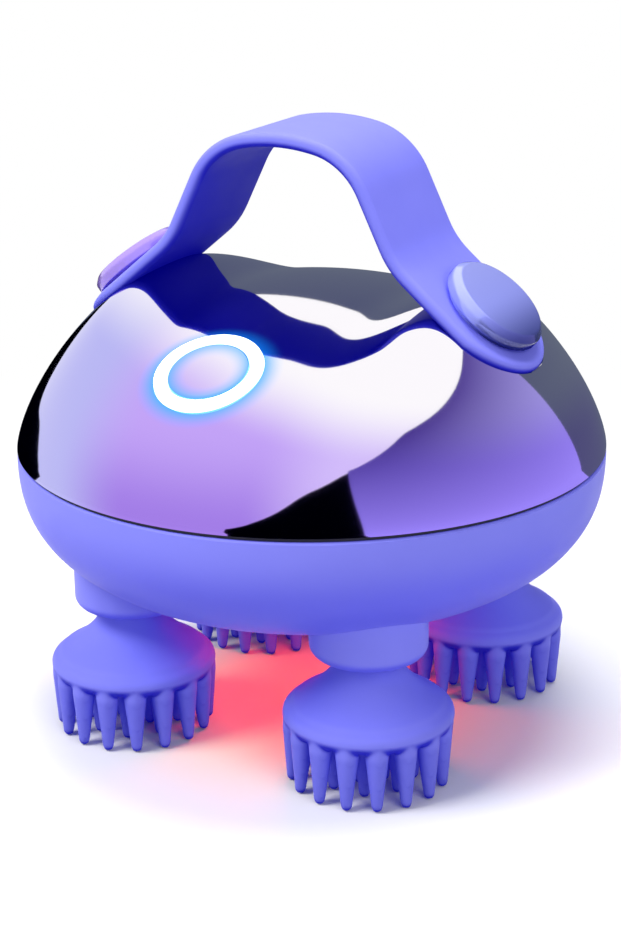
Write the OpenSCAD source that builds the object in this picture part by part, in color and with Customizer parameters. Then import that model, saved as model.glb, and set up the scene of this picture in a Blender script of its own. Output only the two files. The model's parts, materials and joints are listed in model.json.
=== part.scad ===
// Electric scalp massager: a bun-shaped body with a plated cover and a strap
// handle, standing on four geared massage heads with soft nubs.
// Millimetres. Origin on the ground under the body's centre, +Z up, -Y to the
// button, X along the strap.

/* [Body] */
// Diameter of the body at its seam
body_d = 118; // [112:1:126]
// Height of the seam above the ground
seam_z = 57; // [56:0.5:60]
// Depth of the lower bowl below the seam
bowl_depth = 30.2; // [29:0.2:31]
// Height of the cover over the seam between the strap's feet
mid_h = 32.5; // [32:0.5:36]
// Height of the full side curves that carry the strap's feet
side_h = 44; // [43:0.5:47]
// Thickness of both shells
wall = 2.2; // [1.8:0.1:2.6]
// Height of the seal between the shells
seam_gap = 0.8; // [0.5:0.1:1.2]

/* [Strap handle] */
// Height of the strap's top over the seam
strap_h = 64; // [62:0.5:70]
// Width of the strap
strap_w = 27; // [24:0.5:30]
// Thickness of the strap
strap_t = 2.8; // [2:0.1:3.2]
// Distance from the centre to the middle of each foot
foot_x = 38.4; // [37.5:0.1:39.5]
// Height of each foot's outer face over the seam
foot_h = 31; // [30.4:0.1:32]
// Slope of the feet
foot_slope = 40; // [38:1:42]
// Diameter of the end caps
cap_d = 21; // [18:0.5:22]
// Thickness of the end caps
cap_t = 4; // [3:0.1:5]

/* [Power button] */
// Distance of the button in front of the centre
button_y = 39.1; // [38:0.1:40]
// Outer diameter of the light ring
ring_d = 21; // [20:0.5:22]
// Inner diameter of the light ring
ring_id = 16; // [15:0.5:16.5]
// Travel of the button
button_travel = 0.8; // [0.5:0.1:1]
// Gap round the button
button_gap = 0.25; // [0.15:0.05:0.4]

/* [Massage heads] */
// Radius of the rim of a head
rim_r = 16.6; // [15.5:0.1:17]
// Height of the rim's widest edge
rim_z = 14; // [13:0.5:15]
// Height of the top of the neck
neck_z = 27; // [26.6:0.1:27.2]
// Radius of the neck
neck_r = 5.75; // [5.4:0.05:6.2]
// Radius of a nub where it leaves the head
nub_base_r = 2.25; // [2:0.05:2.3]
// Radius of a nub's round tip
nub_tip_r = 1.1; // [0.9:0.1:1.4]
// Outward lean of the outer nubs
nub_lean = 2.5; // [0:0.5:3]
// Number of nubs in the outer ring
outer_nubs = 16; // [14:1:16]

/* [Sockets for the heads] */
// Radius of a socket boss under the bowl
boss_r = 11.4; // [10.5:0.1:12]
// Height of the boss's lower face
boss_z = 26.2; // [26:0.1:26.5]

/* [Drive] */
// Radius of the steel spindles
spindle_r = 2.5; // [2.2:0.1:2.7]
// Radial running gap of the shafts
run_gap = 0.06; // [0.03:0.01:0.09]
// Play between the flanks of two meshing teeth
backlash = 0.22; // [0.16:0.02:0.28]
// Diameter of the motor
motor_d = 24.4; // [20:0.2:25]
// Length of the motor's can
motor_h = 18; // [14:0.5:20]
// Diameter of the battery cell
cell_d = 18.4; // [14:0.2:18.6]
// Length of the battery cell
cell_len = 65; // [50:1:66]

/* [Hidden] */

// Colours
soft_violet = [0.50, 0.50, 0.96];
plated = [0.66, 0.58, 0.92];
steel = [0.72, 0.73, 0.76];
ivory = [0.90, 0.88, 0.82];
board_green = [0.10, 0.35, 0.20];

// Round shapes and the small gap that keeps two bodies apart
$fn = 64;
air = 0.3;
eps = 0.01;
// Length of cuts that pass right through a wall, and the length by which a cut starts before it
through = 20;
over = 1;
body_r = body_d / 2;
inner_r = body_r - wall;

// Form of the bowl and of the cover
bowl_p = 2.6;
bowl_q = 2.7;
side_p = 2.1;
side_q = 1.4;
blend_in = 20;
blend_out = 36;
cover_z = seam_z + seam_gap;
cover_mid = mid_h - seam_gap;
cover_side = side_h - seam_gap;

// Heads, whose spindles keep their distance from the bowl's wall
head_angles = [225, 315, 45, 135];
head_pitch_r = body_r - 21;
rim_round = 2;
plate_z = rim_z - rim_round;
middle_nubs = 8;
inner_nubs = 4;
outer_ring_r = rim_r - nub_base_r - 0.05;
middle_ring_r = 8.7;
inner_ring_r = 3.4;

// Levels of the drive, from the bowl's floor upwards
base_z = seam_z - 15.3;
plate_t = 2;
sun_t = 4.5;
wheel_t = 2.5;
pinion_t = 2.2;
sun_z = base_z + plate_t + air;
mid_z = sun_z + sun_t + 3 * air;
wheel_z = mid_z + plate_t + 2 * air;
pinion_z = wheel_z + wheel_t + 0.5;
top_z = pinion_z + pinion_t + 1;
plate_r = body_r - 12.5;
sun_teeth = 48;
drive_teeth = 28;
head_module = 2 * head_pitch_r / (sun_teeth + drive_teeth);
fast_module = 0.6;
pin_teeth = 9;
big_teeth = 36;
small_teeth = 12;
wheel_teeth = 33;
motor_z = top_z + plate_t;
motor_boss = 1.2;
motor_screw_x = 8;
idler_r = fast_module * (pin_teeth + big_teeth) / 2;
idler_angle = 90;
shaft_r = 1.5;
bush_wall = 1.5;
end_play = 0.2;
spindle_end = 17.4;
bush_len = 10;
tower_wall = 1.8;
seal_r = spindle_r + bush_wall + 0.6;
seal_z = boss_z + 1.6;
seal_t = 2.4;
mouth_r = neck_r + 1.2;
stud_hole_r = 3.2;
socket_gap = 0.12;
hub_r = 4.3;
hub_flange_r = 12;
hub_flange_t = 1.8;
pressure = 25;
addendum = 0.88;
dedendum = 1.2;

// Fasteners
post_r = plate_r - 3.5;
post_w = 3.4;
post_bore = 6;
cover_post_a = 15;
cover_post_r = head_pitch_r - 6;
column_r = 3.5;
column_meet = cover_z + 2;
well_r = 2.6;
well_z = seam_z - 7;
screw_r = 1.25;
screw_gap = 0.15;
head_r = 2.3;
head_t = 1.6;
washer_r = 4;
seat_t = 3;
small_screw_r = 1;
small_screw_l = 5;
cover_bore = 8;

// Button and its board, measured along the button's own axis
button_rho = button_y / body_r;
button_z = cover_z + cover_mid * sqrt(1 - pow(button_rho, 2));
button_tilt = atan(cover_mid / body_r * button_rho / sqrt(1 - pow(button_rho, 2)));
button_r = ring_id / 2 - button_gap;
button_t = 1.8;
board_drop = 10;
board_t = 1.2;
ring_lip = 1.4;
board_post_w = 2.2;
board_post_x = ring_d / 2 + ring_lip + board_post_w + air;
board_w = 2 * (board_post_x + board_post_w + 1);
board_l = 20;
switch_w = 6;
switch_h = 2.6;
plunger_h = 0.7;
stem_r = 2;
stem_end = -board_drop + switch_h + plunger_h + button_travel + 0.1;
boot_z = -5.5;
boot_t = 0.9;

// Charging inlet at the rear
port_z = seam_z - 7.4;
port_w = 9;
port_h = 3.3;
port_l = 7.4;
charge_w = 22;
charge_l = 8;
port_drop = 3;
plug_w = 13;
plug_h = 7;

// Red light in the floor of the bowl
window_r = 12;
window_lip = 1.2;
led_gap = 0.9;

// Battery
cell_y = 24.6;
cell_z = motor_z + cell_d / 2 + 0.8;

// ---------- Helpers ----------

// Points of an arc, from angle a0 to a1
function arc(cx, cy, r, a0, a1, n) =
    [for (i = [0:n]) [cx + r * cos(a0 + (a1 - a0) * i / n), cy + r * sin(a0 + (a1 - a0) * i / n)]];

// Points of the bowl's outline, from the seam to the bottom centre
function bowl_points(r, depth, n) =
    [for (i = [0:n]) let (t = sin(90 * i / n))
        [r * pow(1 - pow(t, bowl_p), 1 / bowl_q), seam_z - t * depth]];

// Radius of the bowl's inside at height z
function bowl_inside(z) =
    inner_r * pow(1 - pow((seam_z - z) / (bowl_depth - wall), bowl_p), 1 / bowl_q);

// Height of the bowl's outside at radius r
function bowl_outside_z(r) =
    seam_z - bowl_depth * pow(1 - pow(r / body_r, bowl_q), 1 / bowl_p);

function smooth(t) = t <= 0 ? 0 : t >= 1 ? 1 : t * t * (3 - 2 * t);

// Height of the cover at (x, y), for the shell's outside (inset 0) or inside
function cover_height(x, y, inset) =
    let (q = min(1, norm([x, y]) / (body_r - inset)))
    let (m = (cover_mid - inset) * sqrt(1 - q * q))
    let (s = (cover_side - inset) * pow(1 - pow(q, side_p), 1 / side_q))
    m + (s - m) * smooth((abs(x) - blend_in) / (blend_out - blend_in));

// Outline of a spur gear with involute flanks
function involute(a) = tan(a) * 180 / PI - a;
function half_tooth(r, teeth, mod) =
    let (base = mod * teeth / 2 * cos(pressure))
    let (thick = 90 / teeth - backlash / 2 / (mod * teeth) * 180 / PI)
    thick + involute(pressure) - (r <= base ? 0 : involute(acos(base / r)));
function gear_points(teeth, mod) =
    let (top = mod * teeth / 2 + addendum * mod)
    let (root = mod * teeth / 2 - dedendum * mod)
    let (radii = [for (i = [0:4]) root + (top - root) * i / 4])
    [for (k = [0:teeth - 1]) each concat(
        [for (i = [0:4]) let (a = k * 360 / teeth - half_tooth(radii[i], teeth, mod))
            [radii[i] * cos(a), radii[i] * sin(a)]],
        [for (i = [4:-1:0]) let (a = k * 360 / teeth + half_tooth(radii[i], teeth, mod))
            [radii[i] * cos(a), radii[i] * sin(a)]])];

module ring(r_out, r_in, h) {
    difference() {
        cylinder(r = r_out, h = h);
        translate([0, 0, -1])
            cylinder(r = r_in, h = h + 2);
    }
}

// A plain bush round a shaft of radius r, from z0 to z1
module bush(r, z0, z1) {
    translate([0, 0, z0])
        ring(r + bush_wall, r + run_gap, z1 - z0);
}

// A pan-head screw, head up, shank down
module screw(length) {
    cylinder(r = head_r, h = head_t);
    translate([0, 0, -length])
        cylinder(r = screw_r, h = length + eps);
}

module at_heads() {
    for (a = head_angles)
        rotate([0, 0, a])
            translate([head_pitch_r, 0, 0])
                children();
}

module at_head(k) {
    rotate([0, 0, head_angles[k]])
        translate([head_pitch_r, 0, 0])
            children();
}

module at_posts(r) {
    for (a = [0:90:270])
        rotate([0, 0, a])
            translate([r, 0, 0])
                children();
}

module at_cover_posts() {
    for (a = [cover_post_a, 180 - cover_post_a, 180 + cover_post_a, -cover_post_a])
        rotate([0, 0, a])
            translate([cover_post_r, 0, 0])
                children();
}

// Frame with its +Z along the button's axis and its origin on the cover
module at_button() {
    translate([0, -button_y, button_z])
        rotate([button_tilt, 0, 0])
            children();
}

// Frame with its +Z along a cap's axis, +X down the slope and its origin on the
// strap's outer face. Side -1 is the left foot.
module at_foot(side) {
    mirror([side < 0 ? 1 : 0, 0, 0])
        translate([foot_x, 0, seam_z + foot_h])
            rotate([0, foot_slope, 0])
                children();
}

// ---------- Shells ----------

module bowl_solid(r, depth, sides = 128) {
    rotate_extrude($fn = sides)
        polygon(concat(bowl_points(r, depth, 26), [[0, seam_z]]));
}

module boss_outside() {
    corner = 2.4;
    top = seam_z - 13;
    rotate_extrude()
        polygon(concat([[0, top], [0, boss_z]],
            arc(boss_r - corner, boss_z + corner, corner, -90, 0, 8), [[boss_r, top]]));
}

// An upright post of radius r at distance far, from inside the bowl's wall up to top
module post(far, r, top) {
    low = bowl_outside_z(far + r) + 0.4;
    translate([0, 0, low])
        cylinder(r = r, h = top - low);
}

module port_cut() {
    translate([0, body_r, port_z]) {
        translate([-port_w / 2 - air, -through, -port_h / 2 - air])
            cube([port_w + 2 * air, through + over, port_h + 2 * air]);
        translate([-plug_w / 2, -wall / 2 - air, -plug_h / 2])
            cube([plug_w, through, plug_h]);
    }
}

module lower_shell() {
    tongue_r = inner_r - 1.4;
    tongue_w = 1.5;
    tongue_h = 8;
    tongue_root = 4;
    tongue_z = seam_z - 5;
    boss_room = 12;
    window_seat_r = window_r + window_lip;
    ledge_w = 3;
    ledge_z = port_z - port_drop - ledge_w;
    floor_z = seam_z - bowl_depth;
    color(soft_violet)
        difference() {
            union() {
                difference() {
                    union() {
                        bowl_solid(body_r, bowl_depth);
                        intersection() {
                            at_heads()
                                boss_outside();
                            translate([0, 0, boss_z - 1])
                                cylinder(r = body_r - 2, h = seam_z - boss_z);
                        }
                    }
                    translate([0, 0, eps])
                        bowl_solid(inner_r, bowl_depth - wall);
                    at_heads()
                        translate([0, 0, boss_z + 2 * wall])
                            cylinder(r = boss_r - wall, h = boss_room);
                }
                // Towers for the lower bushes
                at_heads()
                    translate([0, 0, boss_z + wall])
                        cylinder(r = spindle_r + bush_wall + tower_wall, h = bush_len);
                // Posts under the gearbox
                at_posts(post_r)
                    post(post_r, post_w, base_z);
                // Columns that meet the cover's columns
                at_cover_posts()
                    post(cover_post_r, column_r, column_meet);
                // Tongue inside the seam
                translate([0, 0, tongue_z]) {
                    ring(tongue_r, tongue_r - tongue_w, tongue_h);
                    ring(inner_r + wall / 2, tongue_r - tongue_w, tongue_root);
                }
                // Ring that holds the red light's window
                translate([0, 0, floor_z + wall / 2])
                    ring(window_seat_r + 1.6, window_r - over, wall);
                // Ledges for the charging board
                for (s = [-1, 1])
                    translate([s * (charge_w / 2 - 2) - ledge_w / 2, bowl_inside(ledge_z + over) - charge_l, ledge_z])
                        cube([ledge_w, charge_l + 0.6, ledge_w]);
            }
            // Window's opening and its step
            translate([0, 0, floor_z - over])
                cylinder(r = window_r, h = through);
            translate([0, 0, floor_z + wall / 2])
                cylinder(r = window_seat_r, h = through);
            at_heads() {
                // Mouth for the neck, pocket for the seal and bore for the bush
                translate([0, 0, boss_z - over])
                    cylinder(r = mouth_r, h = seal_z - boss_z + over);
                translate([0, 0, boss_z])
                    cylinder(r = seal_r, h = seal_z + seal_t - boss_z);
                translate([0, 0, boss_z])
                    cylinder(r = spindle_r + bush_wall, h = through);
            }
            at_posts(post_r)
                translate([0, 0, base_z - post_bore])
                    cylinder(r = screw_r, h = through);
            at_cover_posts() {
                translate([0, 0, floor_z - over])
                    cylinder(r = well_r, h = well_z - floor_z + over);
                translate([0, 0, well_z - over])
                    cylinder(r = screw_r + screw_gap, h = through);
            }
            port_cut();
        }
}

function cover_rho(i, n) = 1 - pow(1 - i / n, 1.6);

// Rings of the cover's outside or inside, from the lower edge to the top
function cover_rings(inset, na, nr) =
    [for (i = [nr:-1:1], k = [0:na - 1])
        let (r = cover_rho(i, nr) * (body_r - inset), a = k * 360 / na)
        [r * cos(a), r * sin(a), cover_z + (i == nr ? 0 : cover_height(r * cos(a), r * sin(a), inset))]];

module cover_shell() {
    na = 60;
    nr = 16;
    outside = concat(cover_rings(0, na, nr), [[0, 0, cover_z + cover_height(0, 0, 0)]]);
    inside = concat(cover_rings(wall, na, nr), [[0, 0, cover_z + cover_height(0, 0, wall)]]);
    half = na * nr + 1;
    walls = [for (i = [0:nr - 2], k = [0:na - 1])
        let (a = i * na + k, b = i * na + (k + 1) % na)
        each [[a, a + na, b], [b, a + na, b + na]]];
    tops = [for (k = [0:na - 1]) [(nr - 1) * na + k, half - 1, (nr - 1) * na + (k + 1) % na]];
    rim = [for (k = [0:na - 1])
        let (k2 = (k + 1) % na)
        each [[k, k2, half + k2], [k, half + k2, half + k]]];
    faces_out = concat(walls, tops);
    faces_in = [for (f = faces_out) [f[0] + half, f[2] + half, f[1] + half]];
    polyhedron(points = concat(outside, inside), faces = concat(faces_out, faces_in, rim), convexity = 4);
}

module seat_pocket() {
    translate([0, 0, -strap_t]) {
        cylinder(r = end_r + air, h = 20);
        translate([-strap_w, -end_r - air, 0])
            cube([strap_w, 2 * (end_r + air), 20]);
    }
}

module top_cover() {
    seat_r = 12;
    seat_shift = 3.2;
    column_x = cover_post_r * cos(cover_post_a);
    column_y = cover_post_r * sin(cover_post_a);
    column_top = cover_z + cover_height(column_x, column_y, 0) - wall / 2;
    color(plated)
        difference() {
            union() {
                cover_shell();
                // Seats under the strap's feet
                for (side = [-1, 1])
                    at_foot(side)
                        translate([seat_shift, 0, -strap_t - seat_t])
                            cylinder(r = seat_r, h = seat_t);
                // Columns for the cover screws
                at_cover_posts()
                    translate([0, 0, column_meet])
                        cylinder(r = column_r, h = column_top - column_meet);
                // Posts that carry the button's board
                at_button()
                    for (s = [-1, 1])
                        translate([s * board_post_x, 0, -board_drop])
                            cylinder(r = board_post_w, h = board_drop - wall / 2 - 1);
            }
            for (side = [-1, 1])
                at_foot(side) {
                    seat_pocket();
                    translate([0, 0, -strap_t - seat_t - over])
                        cylinder(r = stud_hole_r, h = through);
                    translate([0, 0, -strap_t - seat_t - through])
                        cylinder(r = washer_r + 0.4, h = through);
                }
            at_button() {
                translate([0, 0, -through])
                    cylinder(r = ring_d / 2, h = 2 * through);
                for (s = [-1, 1])
                    translate([s * board_post_x, 0, -board_drop - over])
                        cylinder(r = small_screw_r, h = small_screw_l + over);
            }
            at_cover_posts()
                translate([0, 0, column_meet - over])
                    cylinder(r = screw_r, h = cover_bore + over);
        }
}

module cover_gasket() {
    groove = 0.6;
    color([0.10, 0.10, 0.18])
        translate([0, 0, seam_z])
            ring(body_r - groove, inner_r - 1.2, seam_gap);
}

// ---------- Strap handle ----------

// The strap's side view is a crown arc, a shoulder arc, a straight leg, a hollow
// arc and the sloped foot. The leg and the foot take the lengths that close it.
crown_r = 40;
crown_a = 12;
shoulder_r = 16;
leg_a = 64;
end_r = strap_w / 2 + 0.3;
hollow_r = 16;
crown_end = [crown_r * sin(crown_a), strap_h - crown_r * (1 - cos(crown_a))];
shoulder_end = crown_end + shoulder_r * [sin(leg_a) - sin(crown_a), cos(leg_a) - cos(crown_a)];
hollow_step = hollow_r * [sin(leg_a) - sin(foot_slope), cos(leg_a) - cos(foot_slope)];
gap = [foot_x, foot_h] - shoulder_end - hollow_step;
turn = cos(leg_a) * -sin(foot_slope) + sin(leg_a) * cos(foot_slope);
leg_len = (gap[0] * -sin(foot_slope) - gap[1] * cos(foot_slope)) / turn;
leg_end = shoulder_end + leg_len * [cos(leg_a), -sin(leg_a)];
hollow_c = leg_end + hollow_r * [sin(leg_a), cos(leg_a)];

// Half of the strap's side view at depth d under its outer face. It runs past the
// foot's middle by the length that the round end needs.
foot_reach = strap_w;
function strap_side(d) = concat(
    arc(0, strap_h - crown_r, crown_r - d, 90, 90 - crown_a, 4),
    arc(crown_end[0] - shoulder_r * sin(crown_a), crown_end[1] - shoulder_r * cos(crown_a),
        shoulder_r - d, 90 - crown_a - 6, 90 - leg_a, 8),
    arc(hollow_c[0], hollow_c[1], hollow_r + d, 270 - leg_a, 270 - foot_slope, 5),
    [[foot_x + foot_reach * cos(foot_slope) - d * sin(foot_slope),
        foot_h - foot_reach * sin(foot_slope) - d * cos(foot_slope)]]);

function mirrored(points) = [for (i = [len(points) - 1:-1:1]) [-points[i][0], points[i][1]]];

module strap() {
    outer = strap_side(0);
    inner = strap_side(strap_t);
    color(soft_violet)
        difference() {
            translate([0, strap_w / 2, seam_z])
                rotate([90, 0, 0])
                    linear_extrude(height = strap_w)
                        polygon(concat(mirrored(outer), outer, [for (i = [len(inner) - 1:-1:0]) inner[i]],
                            [for (i = [1:len(inner) - 1]) [-inner[i][0], inner[i][1]]]));
            for (side = [-1, 1])
                at_foot(side)
                    translate([0, 0, -strap_t - 1]) {
                        cylinder(r = stud_hole_r, h = strap_t + 2);
                        // What lies outside the round end
                        difference() {
                            translate([0, -strap_w, 0])
                                cube([2 * strap_w, 2 * strap_w, strap_t + 2]);
                            translate([0, 0, -1])
                                cylinder(r = end_r, h = strap_t + 4);
                        }
                    }
        }
}

module cap(side) {
    bevel = 1.2;
    step = 0.7;
    stud_r = stud_hole_r - 0.2;
    stud_len = strap_t + seat_t - 0.2;
    cap_r = cap_d / 2;
    under_r = cap_r - bevel;
    color([0.42, 0.30, 0.86])
        at_foot(side)
            difference() {
                rotate_extrude()
                    polygon([[0, -stud_len], [stud_r, -stud_len], [stud_r, 0], [under_r, 0],
                        [under_r, step], [cap_r, step + 0.3], [cap_r, cap_t - bevel],
                        [cap_r - bevel, cap_t], [0, cap_t]]);
                translate([0, 0, -stud_len - over])
                    cylinder(r = screw_r, h = stud_len);
            }
}

module left_cap() {
    cap(-1);
}

module right_cap() {
    cap(1);
}

module strap_screws() {
    color(steel)
        for (side = [-1, 1])
            at_foot(side)
                translate([0, 0, -strap_t - seat_t])
                    rotate([180, 0, 0])
                        screw_big();
}

// Strap screw: its wide head closes the seat's hole from inside the cover
module screw_big() {
    length = 4.5;
    cylinder(r = washer_r, h = head_t);
    translate([0, 0, -length])
        cylinder(r = screw_r, h = length + eps);
}

// ---------- Screws of the cover ----------

module cover_screws() {
    color(steel)
        at_cover_posts()
            translate([0, 0, well_z])
                rotate([180, 0, 0])
                    screw(column_meet - well_z + cover_bore - 3);
}

module screw_plugs() {
    plug_t = 3.5;
    color(soft_violet)
        at_cover_posts()
            translate([0, 0, bowl_outside_z(cover_post_r + well_r) + 0.2])
                cylinder(r = well_r, h = plug_t);
}

// ---------- Button and its board ----------

module light_ring() {
    skirt = 6.5;
    lip_r = ring_d / 2 + ring_lip;
    color([0.92, 0.98, 1.0])
        at_button()
            difference() {
                union() {
                    translate([0, 0, -skirt])
                        cylinder(r = ring_d / 2 - 0.1, h = skirt + 0.1);
                    translate([0, 0, -wall - 3.2])
                        cylinder(r = lip_r, h = 1);
                }
                translate([0, 0, -skirt - over])
                    cylinder(r = ring_id / 2, h = through);
            }
}

module power_button() {
    color(plated)
        at_button() {
            translate([0, 0, -button_t])
                cylinder(r = button_r, h = button_t);
            translate([0, 0, stem_end])
                cylinder(r = stem_r, h = -button_t - stem_end + eps);
        }
}

// Soft boot that seals the button's opening round the stem
module button_boot() {
    color([0.16, 0.16, 0.22])
        at_button()
            difference() {
                translate([0, 0, boot_z])
                    cylinder(r = ring_id / 2 - 0.02, h = boot_t);
                translate([0, 0, boot_z - 1])
                    cylinder(r = stem_r + air, h = 3);
            }
}

// Return spring round the stem, between the boot and the button
module button_spring() {
    wire = 0.3;
    turns = 3;
    coil_r = stem_r + 1.1;
    steps = 16 * turns;
    sides = 8;
    low = boot_z + boot_t + wire;
    rise = -button_t - wire - low;
    points = [for (i = [0:steps], k = [0:sides - 1])
        let (a = 360 * turns * i / steps, b = 360 * k / sides, r = coil_r + wire * cos(b))
        [r * cos(a), r * sin(a), low + rise * i / steps + wire * sin(b)]];
    skin = [for (i = [0:steps - 1], k = [0:sides - 1])
        let (a = i * sides + k, b = i * sides + (k + 1) % sides)
        each [[a, b, a + sides], [b, b + sides, a + sides]]];
    ends = [[for (k = [sides - 1:-1:0]) k], [for (k = [0:sides - 1]) steps * sides + k]];
    color(steel)
        at_button()
            polyhedron(points = points, faces = concat(skin, ends), convexity = 6);
}

module main_board() {
    color(board_green)
        at_button()
            difference() {
                translate([-board_w / 2, -board_l / 2, -board_drop - board_t])
                    cube([board_w, board_l, board_t]);
                for (s = [-1, 1])
                    translate([s * board_post_x, 0, -board_drop - board_t - over])
                        cylinder(r = screw_r, h = through);
            }
}

module board_screws() {
    color(steel)
        at_button()
            for (s = [-1, 1])
                translate([s * board_post_x, 0, -board_drop - board_t])
                    rotate([180, 0, 0]) {
                        cylinder(r = 1.9, h = 1.2);
                        translate([0, 0, -small_screw_l])
                            cylinder(r = small_screw_r, h = small_screw_l + eps);
                    }
}

module tact_switch() {
    color([0.15, 0.15, 0.16])
        at_button() {
            translate([-switch_w / 2, -switch_w / 2, -board_drop])
                cube([switch_w, switch_w, switch_h]);
            translate([0, 0, -board_drop + switch_h - eps])
                cylinder(r = 1.6, h = plunger_h + eps);
        }
}

module ring_leds() {
    led_w = 2.8;
    led_h = 1.9;
    led_r = (ring_d + ring_id) / 4;
    color([1.0, 1.0, 0.85])
        at_button()
            for (a = [45:90:315])
                rotate([0, 0, a])
                    translate([led_r - led_w / 2, -led_w / 2, -board_drop])
                        cube([led_w, led_w, led_h]);
}

// ---------- Gearbox ----------

// A round plate with holes for the long screws and the columns. Its children are cut out.
module plate(z) {
    difference() {
        translate([0, 0, z])
            cylinder(r = plate_r, h = plate_t);
        translate([0, 0, z - 1]) {
            at_posts(post_r)
                cylinder(r = screw_r + screw_gap, h = plate_t + 2);
            at_cover_posts()
                cylinder(r = column_r + 0.4, h = plate_t + 2);
            children();
        }
    }
}

// Tubes that keep two plates apart round the long screws
module spacers(z0, z1) {
    at_posts(post_r)
        translate([0, 0, z0])
            ring(2.9, screw_r + screw_gap, z1 - z0);
}

module at_idler() {
    rotate([0, 0, idler_angle])
        translate([idler_r, 0, 0])
            children();
}

module bush_hole(r) {
    cylinder(r = r + bush_wall, h = plate_t + 2);
}

module gearbox_base() {
    color(ivory) {
        plate(base_z) {
            at_heads()
                cylinder(r = spindle_r + 2 * air, h = plate_t + 2);
            bush_hole(shaft_r);
        }
        spacers(base_z + plate_t - eps, mid_z);
    }
}

module gearbox_middle() {
    color(ivory) {
        plate(mid_z) {
            at_heads()
                bush_hole(spindle_r);
            at_idler()
                bush_hole(shaft_r);
            bush_hole(shaft_r);
        }
        spacers(mid_z + plate_t - eps, top_z);
    }
}

module gearbox_cover() {
    color(ivory)
        plate(top_z) {
            cylinder(r = shaft_r + bush_wall, h = plate_t + 2);
            at_idler()
                bush_hole(shaft_r);
            for (s = [-1, 1])
                translate([s * motor_screw_x, 0, 0])
                    cylinder(r = 1.1, h = plate_t + 2);
        }
}

module gearbox_screws() {
    color(steel)
        at_posts(post_r)
            translate([0, 0, top_z + plate_t])
                screw(top_z + plate_t - base_z + 4);
}

// Bushes of the sun shaft and of the idler shaft. Their ends carry the gears' faces.
module shaft_bushes() {
    color([0.78, 0.58, 0.30]) {
        bush(shaft_r, base_z, sun_z - end_play / 2);
        bush(shaft_r, sun_z + sun_t + end_play, wheel_z - end_play);
        at_idler() {
            bush(shaft_r, mid_z, wheel_z - end_play);
            bush(shaft_r, pinion_z + pinion_t + end_play, top_z + plate_t);
        }
    }
}

module upper_bushes() {
    color([0.78, 0.58, 0.30])
        at_heads()
            bush(spindle_r, sun_z + sun_t + end_play, mid_z + plate_t);
}

module lower_bushes() {
    color([0.78, 0.58, 0.30])
        at_heads()
            bush(spindle_r, seal_z + seal_t, boss_z + wall + bush_len);
}

module spindle_seals() {
    color([0.12, 0.12, 0.14])
        at_heads()
            translate([0, 0, seal_z])
                ring(seal_r, spindle_r + run_gap, seal_t);
}

// ---------- Motor and gears ----------

module motor_can() {
    color(steel)
        difference() {
            union() {
                translate([0, 0, motor_z])
                    cylinder(r = motor_d / 2, h = motor_h);
                translate([0, 0, motor_z - motor_boss])
                    cylinder(r = shaft_r + bush_wall - 0.05, h = motor_boss + eps);
                translate([0, 0, motor_z + motor_h])
                    cylinder(r = 4, h = 1.6);
            }
            translate([0, 0, motor_z - motor_boss - 1])
                cylinder(r = 1 + run_gap, h = motor_h + motor_boss - 1);
            for (s = [-1, 1])
                translate([s * motor_screw_x, 0, motor_z - 1])
                    cylinder(r = 1, h = 4);
        }
}

module motor_screws() {
    color(steel)
        for (s = [-1, 1])
            translate([s * motor_screw_x, 0, top_z])
                rotate([180, 0, 0]) {
                    cylinder(r = 1.8, h = 0.8);
                    translate([0, 0, -plate_t - 2.4])
                        cylinder(r = 0.95, h = plate_t + 2.4 + eps);
                }
}

module gear(teeth, mod, h) {
    linear_extrude(height = h)
        polygon(gear_points(teeth, mod));
}

module motor_shaft() {
    color(steel)
        translate([0, 0, pinion_z])
            cylinder(r = 1, h = motor_z + motor_h - pinion_z - 2 - end_play);
}

module pinion() {
    color([0.80, 0.62, 0.32])
        translate([0, 0, pinion_z])
            rotate([0, 0, idler_angle])
                difference() {
                    gear(pin_teeth, fast_module, pinion_t);
                    translate([0, 0, -1])
                        cylinder(r = 1 / cos(22.5), h = pinion_t + 2, $fn = 8);
                }
}

module idler_shaft() {
    color(steel)
        at_idler() {
            translate([0, 0, mid_z + end_play])
                cylinder(r = shaft_r, h = wheel_z - mid_z - end_play + eps);
            translate([0, 0, wheel_z])
                cylinder(r = shaft_r, h = pinion_z + pinion_t - wheel_z, $fn = 6);
            translate([0, 0, pinion_z + pinion_t - eps])
                cylinder(r = shaft_r, h = motor_z - end_play - pinion_z - pinion_t);
        }
}

module idler_gear() {
    color([0.93, 0.93, 0.95])
        at_idler()
            difference() {
                union() {
                    translate([0, 0, wheel_z])
                        rotate([0, 0, 180 / small_teeth])
                            gear(small_teeth, fast_module, pinion_z - wheel_z + eps);
                    translate([0, 0, pinion_z])
                        rotate([0, 0, 180 + 180 / big_teeth])
                            gear(big_teeth, fast_module, pinion_t);
                }
                translate([0, 0, wheel_z - 1])
                    cylinder(r = shaft_r, h = 10, $fn = 6);
            }
}

module sun_shaft() {
    color(steel) {
        translate([0, 0, base_z + end_play])
            cylinder(r = shaft_r, h = sun_z - base_z - end_play + eps);
        translate([0, 0, sun_z])
            cylinder(r = shaft_r, h = sun_t, $fn = 6);
        translate([0, 0, sun_z + sun_t - eps])
            cylinder(r = shaft_r, h = wheel_z - sun_z - sun_t + 2 * eps);
        translate([0, 0, wheel_z])
            cylinder(r = shaft_r, h = wheel_t, $fn = 6);
    }
}

module wheel_gear() {
    color([0.93, 0.93, 0.95])
        translate([0, 0, wheel_z])
            rotate([0, 0, idler_angle])
                difference() {
                    gear(wheel_teeth, fast_module, wheel_t);
                    translate([0, 0, -1])
                        rotate([0, 0, -idler_angle])
                            cylinder(r = shaft_r, h = wheel_t + 2, $fn = 6);
                }
}

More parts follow.
